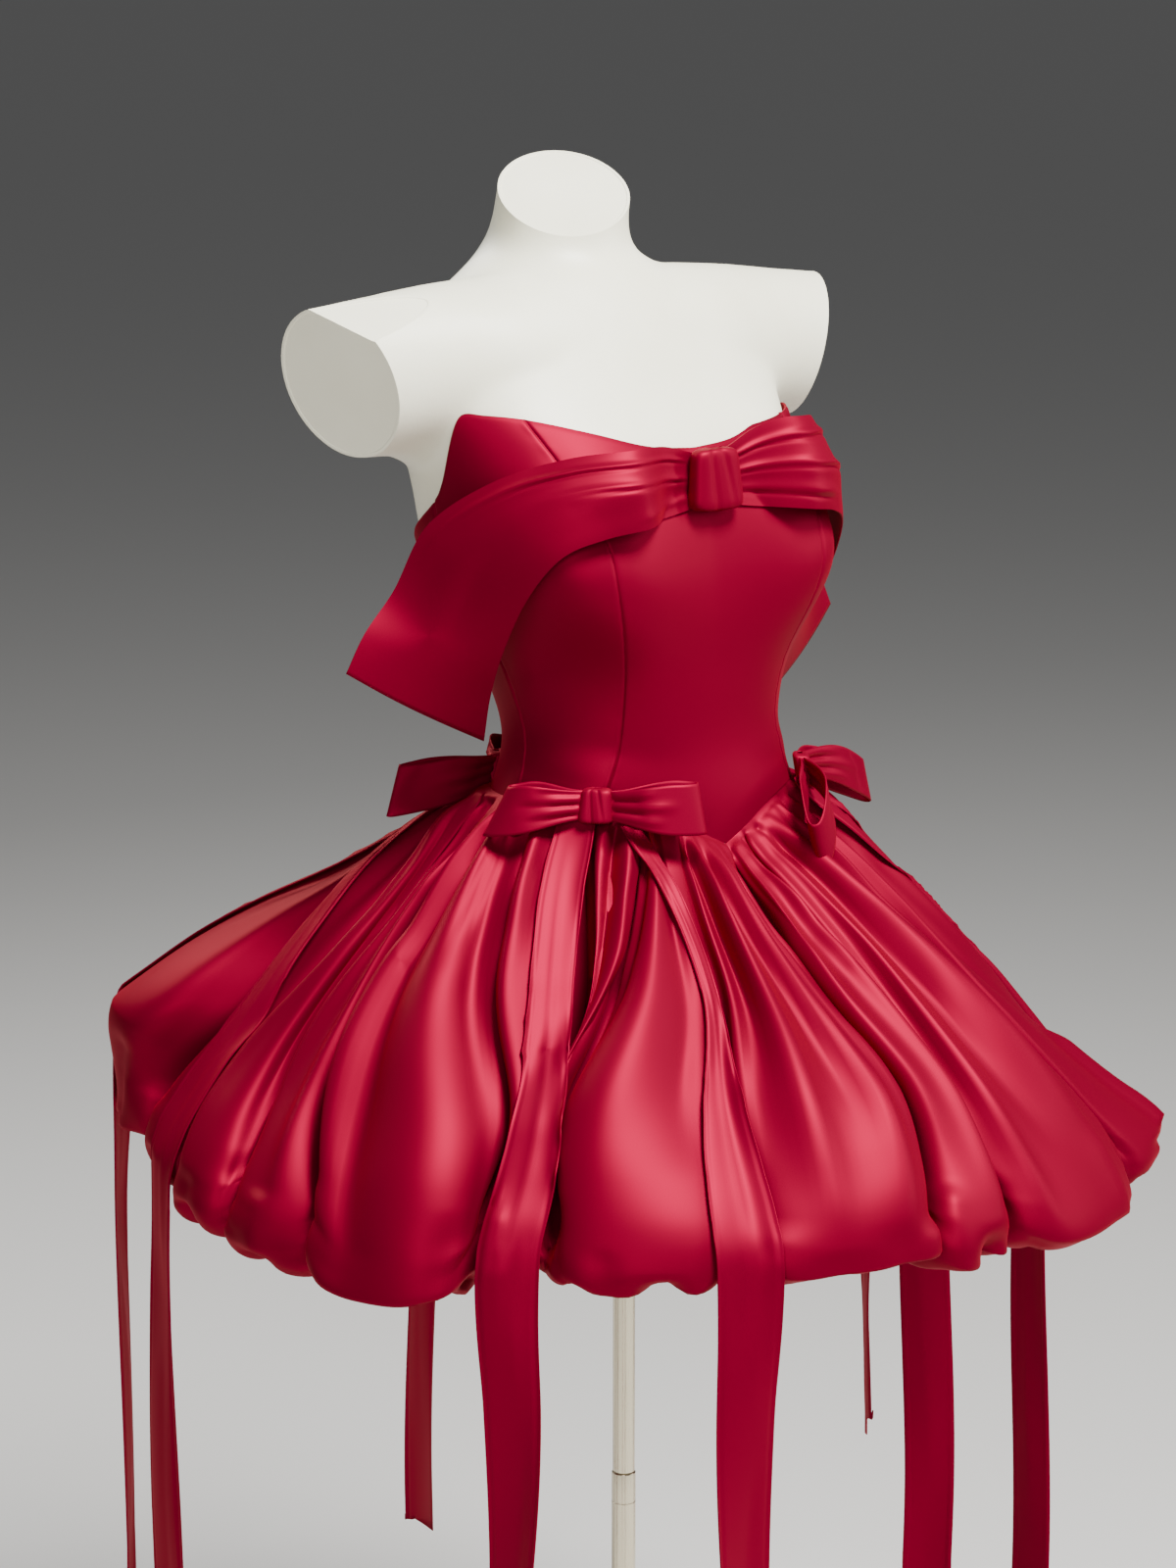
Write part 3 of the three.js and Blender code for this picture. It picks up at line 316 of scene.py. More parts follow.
# Tucks that pull the balloon hem up and in, and the scallops that hang between them
HEM_TUCKS = table(
    "lobe start end first last left right deep",
    ("back_centre", 0.38, 0.4, 9.2, 14.6, 9, 12, -15),
    ("back_centre", 0.7, 0.72, 10, 15, 7, 9, -11),
    ("back_right", 0.3, 0.28, 9.6, 15, 10, 8, -13),
    ("back_right", 0.66, 0.7, 10.2, 14.8, 8, 12, -15),
    ("right_great", 0.3, 0.34, 9.8, 14.6, 9, 12, -14),
    ("right_great", 0.62, 0.6, 10.6, 15, 12, 9, -12),
    ("right_ridge", 0.5, 0.52, 9.8, 15, 8, 10, -13),
    ("right_narrow", 0.46, 0.5, 10, 15, 8, 9, -12),
    ("right_hung", 0.5, 0.46, 10.2, 15, 9, 8, -13),
    ("right_front", 0.2, 0.22, 10.4, 15, 8, 10, -12),
    ("right_front", 0.46, 0.5, 10.8, 14.8, 10, 7, -15),
    ("right_front", 0.68, 0.7, 10.2, 15, 9, 12, -17),
    ("right_front", 0.86, 0.88, 10.6, 14.6, 6, 8, -10),
    ("front_right", 0.28, 0.3, 10.2, 15, 8, 11, -16),
    ("front_right", 0.54, 0.55, 9.9, 15, 11, 8, -19),
    ("front_right", 0.76, 0.74, 10.4, 14.8, 7, 10, -15),
    ("front_valley", 0.14, 0.15, 10.6, 14.6, 7, 8, -10),
    ("front_valley", 0.42, 0.4, 10.8, 15, 10, 8, -13),
    ("front_valley", 0.7, 0.72, 10.4, 15, 9, 12, -15),
    ("front_left", 0.5, 0.52, 9.6, 15, 8, 8, -12),
    ("left_front", 0.26, 0.28, 10.8, 14.6, 9, 11, -12),
    ("left_front", 0.62, 0.6, 10.2, 15, 10, 8, -14),
    ("left_turn", 0.34, 0.36, 10.4, 15, 10, 12, -14),
    ("left_turn", 0.7, 0.7, 9.6, 14.4, 8, 8, -11),
    ("left_bow", 0.4, 0.42, 9.8, 15, 9, 11, -14),
    ("left_bow", 0.74, 0.74, 10.4, 15, 8, 8, -11),
    ("left_side", 0.5, 0.48, 9.6, 14.8, 9, 9, -13),
    ("left_back", 0.34, 0.36, 10.2, 15, 8, 10, -13),
    ("left_back", 0.7, 0.68, 9.8, 14.8, 10, 8, -14),
    ("left_deep", 0.5, 0.5, 10, 15, 9, 9, -13),
    ("back_bow", 0.28, 0.3, 9.8, 15, 9, 12, -14),
    ("back_bow", 0.62, 0.6, 10.4, 14.8, 10, 8, -13),
    ("back_turn", 0.48, 0.5, 9.8, 15, 10, 10, -14),
    ("back_left", 0.36, 0.34, 10.2, 15, 9, 10, -14),
    ("back_left", 0.7, 0.72, 9.8, 14.8, 8, 11, -12),
)

# The chest bow's band, wearer's right, as its upper and its lower edge; the left mirrors it
BAND = table(
    "s ux uy uz lx ly lz puff",
    (0, -15, -94, 1272, -15, -96, 1231, 0),
    (0.12, -44, -95, 1279, -44, -99, 1227, 4),
    (0.28, -84, -104, 1280, -80, -124, 1224, 9),
    (0.44, -124, -76, 1274, -116, -114, 1218, 10),
    (0.58, -158, -34, 1256, -142, -94, 1204, 9),
    (0.7, -187, 8, 1222, -155, -70, 1172, 8),
    (0.82, -208, 24, 1172, -156, -42, 1128, 7),
    (0.91, -232, 28, 1142, -152, -22, 1092, 6),
    (1, -248, 30, 1113, -146, -6, 1054, 5),
)
# start and end are shares of the band's depth from its upper edge, first and last of its length
BAND_CREASES = {
    "chest_band_right": table(
        "start end first last left right deep",
        (0.17, 0.12, 0, 0.78, 2.5, 9, 3.4),
        (0.225, 0.165, 0, 0.72, 1.8, 2, -3.2),
        (0.47, 0.36, 0, 0.56, 2.4, 10, 3),
        (0.53, 0.41, 0, 0.5, 1.8, 2, -3),
        (0.8, 0.86, 0, 0.34, 6, 4, 2.4),
        (0.5, 0.62, 0.4, 0.9, 14, 18, -2),
    ),
    "chest_band_left": table(
        "start end first last left right deep",
        (0.2, 0.1, 0, 0.6, 2.6, 8, 3.4),
        (0.26, 0.16, 0, 0.56, 1.8, 2, -3),
        (0.44, 0.46, 0, 0.66, 2.6, 9, 3.2),
        (0.5, 0.52, 0, 0.6, 1.8, 2.2, -3.2),
        (0.72, 0.8, 0, 0.5, 6, 5, 3),
        (0.79, 0.87, 0, 0.44, 2, 2, -2.4),
    ),
}
# The waist bows. Each pair is for the loop on the wearer's right and on the left of the knot: how
# far its end hangs, bends back and swings out, how much its end slants, and its share of LOOP_LONG
BOWS = (
    {"name": "bow_front_right", "angle": -51, "z": 1013, "droop": (8, 2), "bend": (20, 18),
     "swing": (24.4, 4.6), "slant": (9, 4), "share": (0.84, 0.87)},
    {"name": "bow_front_left", "angle": 51, "z": 1013, "droop": (44, 30), "bend": (24, -22),
     "swing": (20.8, 26.6), "slant": (-5, 7), "share": (1, 1)},
    {"name": "bow_back_left", "angle": 136, "z": 1010, "droop": (26, 8), "bend": (22, 20),
     "swing": (81.8, 5.9), "slant": (6, 8), "share": (1, 1)},
    {"name": "bow_back_right", "angle": -133, "z": 1014, "droop": (12, 10), "bend": (8, -44),
     "swing": (2.7, 54), "slant": (-4, 10), "share": (1, 0.7)},
)
# start and end are shares of the loop's half height, first and last of its length
LOOP_CREASES = table(
    "start end first last left right deep",
    (-0.66, -0.5, 0, 0.7, 3, 4, 1.8),
    (-0.3, -0.24, 0, 0.5, 3, 3, -2.2),
    (0.06, 0.16, 0, 0.84, 4, 3, 2),
    (0.42, 0.36, 0, 0.44, 3, 3, -2.2),
    (0.72, 0.7, 0, 0.62, 3, 4, 1.6),
)
TAILS = table(
    "name start a962 a895 a825 a740 clear folded twist end slant sway",
    ("tail_front_right_a", -57, -57, -54.5, -52.5, -53.5, 1.15, 26, -38, 205, 14, 5),
    ("tail_front_right_b", -44, -31, -26, -28, -28, 1.3, 12, 31, 190, -12, -4),
    ("tail_front_left_a", 57, 65, 77, 89, 98, 1.7, 22, 43, 200, 12, 6),
    ("tail_front_left_b", 45, 51, 60, 70, 78, 1.3, 22, 10, 215, -14, 8),
    ("tail_back_left_a", 141, 146, 154, 162, 167, 1.7, 22, 33, 240, 16, -5),
    ("tail_back_left_b", 129, 122, 115, 109, 107, 1.3, 20, -56, 345, -20, 5),
    ("tail_back_right_a", -127, -121, -114, -110, -108, 1.3, 22, 14, 195, 10, -6),
    ("tail_back_right_b", -139, -138, -137, -136.5, -136, 1.4, 20, 5, 210, -12, 4),
)
TAIL_CREASES = table(
    "start end first last left right deep",
    (-0.87, -0.87, -0.3, 1.6, 1.6, 1.0, -0.9),
    (0.87, 0.87, -0.3, 1.6, 1.0, 1.6, -0.9),
    (-0.2, 0.25, 0.02, 0.5, 4, 5, 1.2),
    (0.35, -0.1, 0.5, 0.9, 7, 5, -1),
)

# Flat cuts of the cloth that shows: width, length and area, in metres and square metres
CUTS = {
    "bodice_front": (0.22, 0.3, 0.057),
    "bodice_side_front": (0.13, 0.31, 0.034),
    "bodice_side_back": (0.11, 0.25, 0.022),
    "bodice_back": (0.12, 0.2, 0.02),
    "skirt_front": (0.98, 0.56, 0.49),
    "skirt_left": (0.62, 0.54, 0.285),
    "skirt_back": (1.04, 0.56, 0.51),
    "skirt_right": (0.68, 0.56, 0.325),
    "chest_band": (0.36, 0.12, 0.03),
    "knot": (0.066, 0.029, None),
    "chest_knot": (0.12, 0.047, None),
}

# Where a lobe's edge leans over the fold beside it: the share across the lobe and how far, in
# millimetres, towards the wearer's left
OVERLAPS = table(
    "lobe at over",
    ("right_great", 0.93, 10),
    ("right_ridge", 0.08, -7),
    ("right_narrow", 0.92, 7),
    ("right_front", 0.07, -6),
    ("right_front", 0.93, 13),
    ("bow_fold", 0.9, 6),
    ("front_right", 0.07, -9),
    ("front_right", 0.93, 12),
    ("front_valley", 0.07, -5),
    ("front_valley", 0.92, 7),
    ("left_front", 0.08, -9),
    ("left_front", 0.92, 8),
    ("left_turn", 0.07, -10),
    ("left_bow", 0.92, 8),
    ("left_back", 0.08, -9),
    ("left_deep", 0.92, 9),
    ("back_bow", 0.07, -8),
    ("back_bow", 0.93, 8),
    ("back_left", 0.08, -9),
    ("back_centre", 0.92, 9),
    ("back_right", 0.08, -8),
)
# Sharp turns where a lobe's top meets its side: a profile row, how far the turn reaches above and
# below it in rows, and how far it stands out and up
CORNERS = table(
    "lobe start end row above below out up",
    ("right_great", 0.1, 0.92, 8, 1.2, 0.9, -4, 14),
    ("right_great", 0.06, 0.94, 10.9, 1.4, 1.2, 20, -12),
    ("right_front", 0.14, 0.96, 10.4, 2.2, 0.9, 11, -12),
    ("right_front", 0.06, 0.4, 9.4, 0.9, 0.7, -12, 10),
    ("front_right", 0.04, 0.9, 10.6, 2.4, 0.8, 10, -9),
    ("front_valley", 0.04, 0.98, 10.4, 2.2, 0.8, 11, -7),
    ("left_front", 0.04, 0.98, 10.3, 2.2, 0.8, 11, -6),
    ("bow_right", 0.1, 0.9, 10.6, 1.6, 0.9, 8, -10),
    ("front_left", 0.1, 0.9, 10.6, 1.6, 0.9, 8, -8),
    ("left_turn", 0.3, 0.86, 9.3, 1.3, 0.7, 16, -4),
    ("left_turn", 0.2, 0.9, 10.8, 0.8, 1.2, -16, 8),
    ("left_bow", 0.2, 0.8, 9.4, 1.2, 0.9, 8, 0),
    ("back_bow", 0.2, 0.9, 9, 1.3, 0.9, 10, 2),
    ("back_left", 0.2, 0.8, 9.2, 1.2, 0.9, 8, 0),
)


def rad(degrees):
    """Degrees as radians."""
    return np.radians(degrees)


def mix(a, b, t):
    """From a to b."""
    return a + (b - a) * t


def ease(t):
    """A soft step from 0 to 1."""
    t = np.clip(t, 0, 1)
    return t * t * (3 - 2 * t)


def heading(angle):
    """The level direction that an angle faces."""
    angle = rad(np.asarray(angle, float))
    return np.stack([np.sin(angle), -np.cos(angle), np.zeros_like(angle)], -1)


def column(rows, key, want, at):
    """One column of a table where another has the value at, smooth through the rows."""
    x = rows[key].astype(float)
    y = rows[want].astype(float)
    at = np.clip(np.asarray(at, float), x[0], x[-1])
    i = np.clip(np.searchsorted(x, at, side="right") - 1, 0, len(x) - 2)
    before = np.maximum(i - 1, 0)
    after = np.minimum(i + 2, len(x) - 1)
    step = x[i + 1] - x[i]
    t = (at - x[i]) / step
    leave = (y[i + 1] - y[before]) / (x[i + 1] - x[before]) * step
    reach = (y[after] - y[i]) / (x[after] - x[i]) * step
    return (
        (2 * t**3 - 3 * t**2 + 1) * y[i]
        + (t**3 - 2 * t**2 + t) * leave
        + (3 * t**2 - 2 * t**3) * y[i + 1]
        + (t**3 - t**2) * reach
    )


# The form's surface
def torso_radius(angle, z):
    """How far the form's surface is from its own middle, at an angle and a height."""
    turn = np.abs((np.asarray(angle, float) + 540) % 360 - 180)
    side = np.sin(rad(turn))
    ahead = np.cos(rad(turn))
    power = column(TORSO, "z", "power", z)
    depth = np.where(ahead > 0, column(TORSO, "z", "front", z), column(TORSO, "z", "back", z))
    half = column(TORSO, "z", "half", z)
    plain = ((side / half) ** power + (np.abs(ahead) / depth) ** power) ** (-1 / power)
    fall = ((turn - BUST["angle"]) / BUST["spread"]) ** 2 + ((z - BUST["z"]) / BUST["tall"]) ** 2
    return plain + BUST["rise"] * np.exp(-fall)


def body_point(angle, z, out):
    """A point this far out from the form."""
    angle, z, out = np.broadcast_arrays(np.asarray(angle, float), np.asarray(z, float), out)
    point = heading(angle) * (torso_radius(angle, z) + out)[..., None]
    point[..., 1] += column(TORSO, "z", "mid", z)
    point[..., 2] = z
    return point


def from_front(angle):
    """The size of an angle, either way from the centre front."""
    return np.abs((angle + 540) % 360 - 180)


def seam_height(angle):
    """The waist seam's height."""
    return column(WAIST_SEAM, "angle", "z", from_front(angle))


def edge_height(angle):
    """The bodice's top edge. Its peak stands lower on the wearer's left."""
    height = column(TOP_EDGE, "angle", "z", from_front(angle))
    lower = LEFT_PEAK_DROP * np.maximum(height - LEFT_PEAK_FROM, 0)
    return height - lower * (np.sin(rad(angle)) > 0)


# Creases
def crease_height(rows, cross, along, scale):
    """The summed height of the creases in a table over a grid. cross and along are the grid's own
    coordinates and scale is how many millimetres one unit of cross is."""
    height = np.zeros(np.broadcast(cross, along, scale).shape)
    for start, end, first, last, left, right, deep in zip(
        *(rows[name] for name in ("start", "end", "first", "last", "left", "right", "deep"))
    ):
        span = last - first
        share = (along - first) / span
        offset = cross - mix(start, end, np.clip(share, 0, 1))
        near = (np.abs(offset) < 0.06) & (share > 0) & (share < 1)
        widest = scale[near].max() if near.any() else scale.max()
        flank = np.where(offset < 0, left, right) / widest
        shape = np.exp(-((np.abs(offset) / flank) ** 1.7))
        length = ease(share / 0.16) * ease((1 - share) / 0.36)
        height += deep * shape * length * np.sqrt(np.minimum(scale / widest, 1))
    return height


def normals_of(grid, sign):
    """The unit normals of a grid of points, turned by sign."""
    normal = np.cross(np.gradient(grid, axis=0), np.gradient(grid, axis=1))
    size = np.maximum(np.linalg.norm(normal, axis=2, keepdims=True), 1e-9)
    return sign * normal / size


# Skirt
def fold_angles(fold, z):
    """The angle of each numbered fold at each height."""
    rows = [
        {"z": FOLD_Z, "a": np.array([FOLDS[name][i] for name in ("hem", "low", "high", "top")])}
        for i in range(FOLD_COUNT)
    ]
    angles = np.array([column(line, "z", "a", z) for line in rows])
    return angles[fold % FOLD_COUNT] + 360 * (fold // FOLD_COUNT)[:, None]


def skirt_base(u, w):
    """The skirt before its creases, at u, a fold's number plus the share of the way to the next
    fold, and w, a row of the profile. Returns the points and the millimetres in one unit of u."""
    fold = np.floor(u).astype(int)
    share = (u - fold)[:, None]
    here = fold % FOLD_COUNT
    after = (fold + 1) % FOLD_COUNT

    def row(want):
        return column(PROFILE, "row", want, w)[None, :]

    def lobe(want, which):
        return FOLDS[want].astype(float)[which][:, None]

    first = fold_angles(fold, row("z")[0])
    second = fold_angles(fold + 1, row("z")[0])
    eased = share - PINCH * row("fold") * np.sin(2 * np.pi * share) / (2 * np.pi)
    angle = mix(first, second, eased)
    top = body_point(angle, seam_height(angle) + SEAM_TUCK, BODICE_OUT - 0.5)
    full = np.maximum(np.sin(np.pi * share), 0) ** LOBE_FULLNESS
    deep = mix(lobe("deep", here), lobe("deep", after), share)
    gather = 0.5 - 0.5 * np.cos(2 * np.pi * lobe("pleats", here) * share)
    waist = np.hypot(top[..., 0], top[..., 1] - SKIRT_AXIS[1]) - PROFILE["r"][0]
    r = (
        row("r")
        + waist * row("seam")
        + full * (lobe("reach", here) * row("lobe") + lobe("puff", here) * row("puff"))
        - deep * row("fold") * (1 - full) * mix(*VALLEY_DEEPER, ease((w[None, :] - 8) / 3))
        - PLEAT_DEPTH * row("gather") * gather
    )
    points = heading(angle) * r[..., None] + SKIRT_AXIS
    points[..., 2] = (
        row("z")
        + (top[..., 2] - PROFILE["z"][0]) * row("seam")
        + full * lobe("rise", here) * row("lobe")
        + deep * row("lift") * (1 - full)
    )
    blend = ease(w / 0.5)[None, :, None]
    return mix(top, points, blend), r * rad(second - first)


def numbered(rows, crisp):
    """A table of creases with start and end as places in u instead of shares of a lobe, and each
    crease that much deeper and a little narrower."""
    number = np.array([FOLD_NAMES.index(name) for name in rows["lobe"]])
    narrow = crisp**0.7
    return {
        **rows,
        "start": rows["start"] + number,
        "end": rows["end"] + number,
        "left": rows["left"] / narrow,
        "right": rows["right"] / narrow,
        "deep": rows["deep"] * crisp,
    }


def uneven_lines(count, seed, first, length, drift, wide, deep):
    """Small creases all round, uneven in place, length, width and depth. Each pair is a range."""
    draw = random.Random(seed)
    lines = []
    for n in range(count):
        start = (n + draw.uniform(0.1, 0.9)) * FOLD_COUNT / count
        begin = draw.uniform(*first)
        lines.append(
            (start, start + draw.uniform(-drift, drift), begin, begin + draw.uniform(*length),
             draw.uniform(*wide), draw.uniform(*wide), draw.choice((-1, 1)) * draw.uniform(*deep)),
        )
    return table("start end first last left right deep", *lines)


def skirt_lines():
    """Every table of creases that shapes the skirt: those listed, the valley at each fold,
    and small ones all round at the gathers, down the lobes and at the hem."""
    draw = random.Random(11)
    valleys = table(
        "start end first last left right deep",
        *(
            (fold, fold, 0.3, draw.uniform(10.4, 12.4), 22, 19, -draw.uniform(17, 25))
            for fold in range(FOLD_COUNT)
        ),
    )
    return (
        numbered(SKIRT_CREASES, CREASES_CRISP),
        numbered(HEM_TUCKS, TUCKS_CRISP),
        valleys,
        uneven_lines(104, 5, (0.1, 0.3), (1.8, 5.4), 0.05, (4, 9), (3, 6)),
        uneven_lines(70, 8, (1.6, 4.2), (3.4, 6.4), 0.14, (9, 26), (1.6, 4)),
        uneven_lines(90, 3, (8, 10.4), (2.6, 4.6), 0.1, (6, 15), (2.5, 5.5)),
    )


def overlap_shift(u, w, angle):
    """How far the edges of some lobes lean over the fold beside them."""
    shift = np.zeros(angle.shape)
    down = (ease(w / 1.5) * ease((10 - w) / 3))[None, :]
    for name, at, over in zip(*OVERLAPS.values()):
        share = (u - FOLD_NAMES.index(name) - at + 0.5) % FOLD_COUNT - 0.5
        shift += over * np.exp(-((share / 0.06) ** 2))[:, None] * down
    return heading(angle + 90) * shift[..., None]


def skirt_grid(u, w):
    """The creased skirt's points. A few columns more on both sides give the edges true normals."""
    edge = 3
    more = (u[1] - u[0]) * np.arange(1, edge + 1)
    wide = np.concatenate([u[0] - more[::-1], u, u[-1] + more])
    base, scale = skirt_base(wide, w)
    along = w[None, :]
    height = np.zeros(scale.shape)
    for turn in (-FOLD_COUNT, 0, FOLD_COUNT):
        cross = (wide + turn)[:, None]
        for rows in skirt_lines():
            height += crease_height(rows, cross, along, scale)
    # a slow unevenness, so that no lobe is a mirror of itself
    angle = 2 * np.pi * wide[:, None] / FOLD_COUNT
    height += (
        1.6 * np.sin(17 * angle + 0.8 * along) * np.sin(0.9 * along + 3 * angle)
        + 1.1 * np.sin(31 * angle - 0.6 * along + 1.3)
    ) * ease((along - 1.5) / 3)
    height = np.where(height > 0, height * mix(0.35, 1, ease((along - 1) / 2)), height)
    points = base + normals_of(base, -1) * (height * ease(along / 0.9))[..., None]
    turn = np.degrees(np.arctan2(base[..., 0], SKIRT_AXIS[1] - base[..., 1]))
    points += corner_shift(wide, w, turn) + overlap_shift(wide, w, turn)
    return points[edge:-edge]


def corner_shift(u, w, angle):
    """How far the sharp turns move each point of the skirt."""
    shift = np.zeros(angle.shape + (3,))
    ahead = heading(angle)
    for name, start, end, row, above, below, out, up in zip(*CORNERS.values()):
        share = (u - FOLD_NAMES.index(name)) % FOLD_COUNT
        across = (ease((share - start) / 0.3) * ease((end - share) / 0.3))[:, None]
        away = (w - row)[None, :]
        near = across * np.exp(-np.abs(away) / np.where(away < 0, above, below) * 1.6)
        shift += near[..., None] * (ahead * out + np.array([0, 0, up]))
    return shift


def skirt_range(panel):
    """A panel's first and last fold."""
    name, start, end = panel
    first = FOLD_NAMES.index(start)
    last = FOLD_NAMES.index(end)
    return first, last if last > first else last + FOLD_COUNT


LOBE_STEPS = 40
SKIRT_ROWS = np.concatenate([np.linspace(0, 9, 96), np.linspace(9, LAST_ROW, 58)[1:]])


def whole_skirt():
    """All of the skirt's points, with the first column again as the last."""
    u = np.linspace(0, FOLD_COUNT, FOLD_COUNT * LOBE_STEPS + 1)
    points = skirt_grid(u, SKIRT_ROWS)
    points[-1] = points[0]
    return points


def skirt_panel(points, panel):
    """One panel's share of the whole skirt's points."""
    first, last = skirt_range(panel)
    columns = np.arange(first * LOBE_STEPS, last * LOBE_STEPS + 1) % (FOLD_COUNT * LOBE_STEPS)
    return points[columns]


class Reach:
    """How far out the dress reaches at an angle and a height, around the skirt's own axis."""

    Z = np.arange(650.0, 1080.0, 2.0)
    ANGLES = np.arange(-180.0, 180.0, 0.5)

    def __init__(self):
        u = np.linspace(0, FOLD_COUNT, FOLD_COUNT * 24, endpoint=False)
        w = np.linspace(0, 12, 90)
        points = skirt_grid(u, w) - SKIRT_AXIS
        turn = np.degrees(np.arctan2(points[..., 0], -points[..., 1]))
        r = np.hypot(points[..., 0], points[..., 1])
        falling = np.minimum.accumulate(points[..., 2], axis=1)
        at_z = np.array([np.interp(self.Z, z[::-1], line[::-1]) for z, line in zip(falling, r)])
        lines = [np.unwrap(line, period=360) for line in turn]
        turn_z = np.array(
            [np.interp(self.Z, z[::-1], line[::-1]) for z, line in zip(falling, lines)]
        )
        above = self.Z[None, :] > points[:, :1, 2]
        at_z = np.where(above, 0, at_z)
        self.map = np.zeros((len(self.Z), len(self.ANGLES)))
        for k, z in enumerate(self.Z):
            self.map[k] = self.around(turn_z[:, k], at_z[:, k])
            body = body_point(self.ANGLES, z, BODICE_OUT) - SKIRT_AXIS
            body_turn = np.degrees(np.arctan2(body[:, 0], -body[:, 1]))
            bodice = self.around(body_turn, np.hypot(body[:, 0], body[:, 1]))
            bodice = np.where(z > seam_height(self.ANGLES) - 2, bodice, 0)
            self.map[k] = np.maximum(self.map[k], bodice)
        self.hang = np.maximum.accumulate(self.map[::-1], axis=0)[::-1]

    def around(self, turn, r):
        """Values at scattered angles, read at the even ones."""
        turn = (turn + 180) % 360 - 180
        order = np.argsort(turn)
        return np.interp(self.ANGLES, turn[order], r[order], period=360)

    def at(self, angle, z, hanging=False):
        """The reach at angles and heights; hanging cloth also clears what is above it."""
        source = self.hang if hanging else self.map
        angle, z = np.broadcast_arrays(np.asarray(angle, float), np.asarray(z, float))
        row = np.clip((z - self.Z[0]) / 2, 0, len(self.Z) - 1.001)
        place = ((angle + 180) % 360) * 2
        i = row.astype(int)
        j = place.astype(int) % len(self.ANGLES)
        after = (j + 1) % len(self.ANGLES)
        f = place - np.floor(place)
        low = mix(source[i, j], source[i, after], f)
        high = mix(source[i + 1, j], source[i + 1, after], f)
        return mix(low, high, row - i)


# Meshes
def grid_piece(name, grid, uv_size, flip=False, ring=False):
    """A thin sheet: a grid whose points are moved to the given ones. uv_size is the sheet's flat
    width and length in metres."""
    across, down = grid.shape[:2]
    mesh = bmesh.new()
    bmesh.ops.create_grid(mesh, x_segments=across - 1, y_segments=down - 1, size=0.5, calc_uvs=True)
    uv = mesh.loops.layers.uv.verify()
    metres = grid / 1000
    for face in mesh.faces:
        for corner in face.loops:
            corner[uv].uv = (corner[uv].uv.x * uv_size[0], corner[uv].uv.y * uv_size[1])
    for vert in mesh.verts:
        i = round((vert.co.x + 0.5) * (across - 1))
        j = round((vert.co.y + 0.5) * (down - 1))
        vert.co = metres[i, j]
    if ring:
        bmesh.ops.remove_doubles(mesh, verts=mesh.verts, dist=1e-6)
    if flip:
        bmesh.ops.reverse_faces(mesh, faces=mesh.faces)
    return finish_mesh(name, mesh)


def finish_mesh(name, mesh, smooth=True):
    """Turns a bmesh into an object at the origin."""
    data = bpy.data.meshes.new(name)
    mesh.to_mesh(data)
    mesh.free()
    for face in data.polygons:
        face.use_smooth = smooth
    piece = bpy.data.objects.new(name, data)
    bpy.context.collection.objects.link(piece)
    return piece


def give_thickness(piece, cloth):
    """Gives a sheet its wall, inwards, in millimetres."""
    wall = piece.modifiers.new("cloth", "SOLIDIFY")
    wall.thickness = cloth / 1000
    wall.offset = -1


def stands_for(piece, node, material):
    """Puts a finished piece in the place of a solid, on the part's one body."""
    piece.data.materials.append(material)
    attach(piece, "root")
    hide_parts(node)
    return piece


def cloth_piece(name, grid, cut, held, rests_on, thick, material, slot="crimson_satin", **options):
    """A sheet of satin as a thin wall, its UV map sized to its flat cut."""
    width, length, area = CUTS[cut] if isinstance(cut, str) else cut
    piece = grid_piece("satin_" + name, grid, (width, length), **options)
    give_thickness(piece, thick)
    stands_for(piece, name, material)
    return piece


def line_length(points, digits):
    """The length in metres of a line of points, rounded."""
    return round(float(np.linalg.norm(np.diff(points, axis=0), axis=1).sum()) / 1000, digits)


def towards_edges(count):
    """Shares from 0 to 1 that lie closer together towards both edges."""
    return 0.5 - 0.5 * np.cos(np.linspace(0, np.pi, count))


# Materials
def linear(code):
    """An sRGB hex colour as linear values with alpha."""
    parts = [int(code[i:i + 2], 16) / 255 for i in (1, 3, 5)]
    return tuple(c / 12.92 if c <= 0.04045 else ((c + 0.055) / 1.055) ** 2.4 for c in parts) + (1,)


def add_node(tree, kind, inputs=None, **settings):
    """Adds a node, with values or links for its named inputs and its own settings."""
    node = tree.nodes.new(kind)
    for name, value in settings.items():
        setattr(node, name, value)
    for name, value in (inputs or {}).items():
        if isinstance(value, bpy.types.NodeSocket):
            tree.links.new(value, node.inputs[name])
        else:
            node.inputs[name].default_value = value
    return node


def new_material(name):
    """An empty node material and its tree."""
    material = bpy.data.materials.new(name)
    material.use_nodes = True
    material.node_tree.nodes.clear()
    return material, material.node_tree


def show(tree, shader):
    """Links a shader to the material's output."""
    add_node(tree, "ShaderNodeOutputMaterial", {"Surface": shader.outputs["BSDF"]})


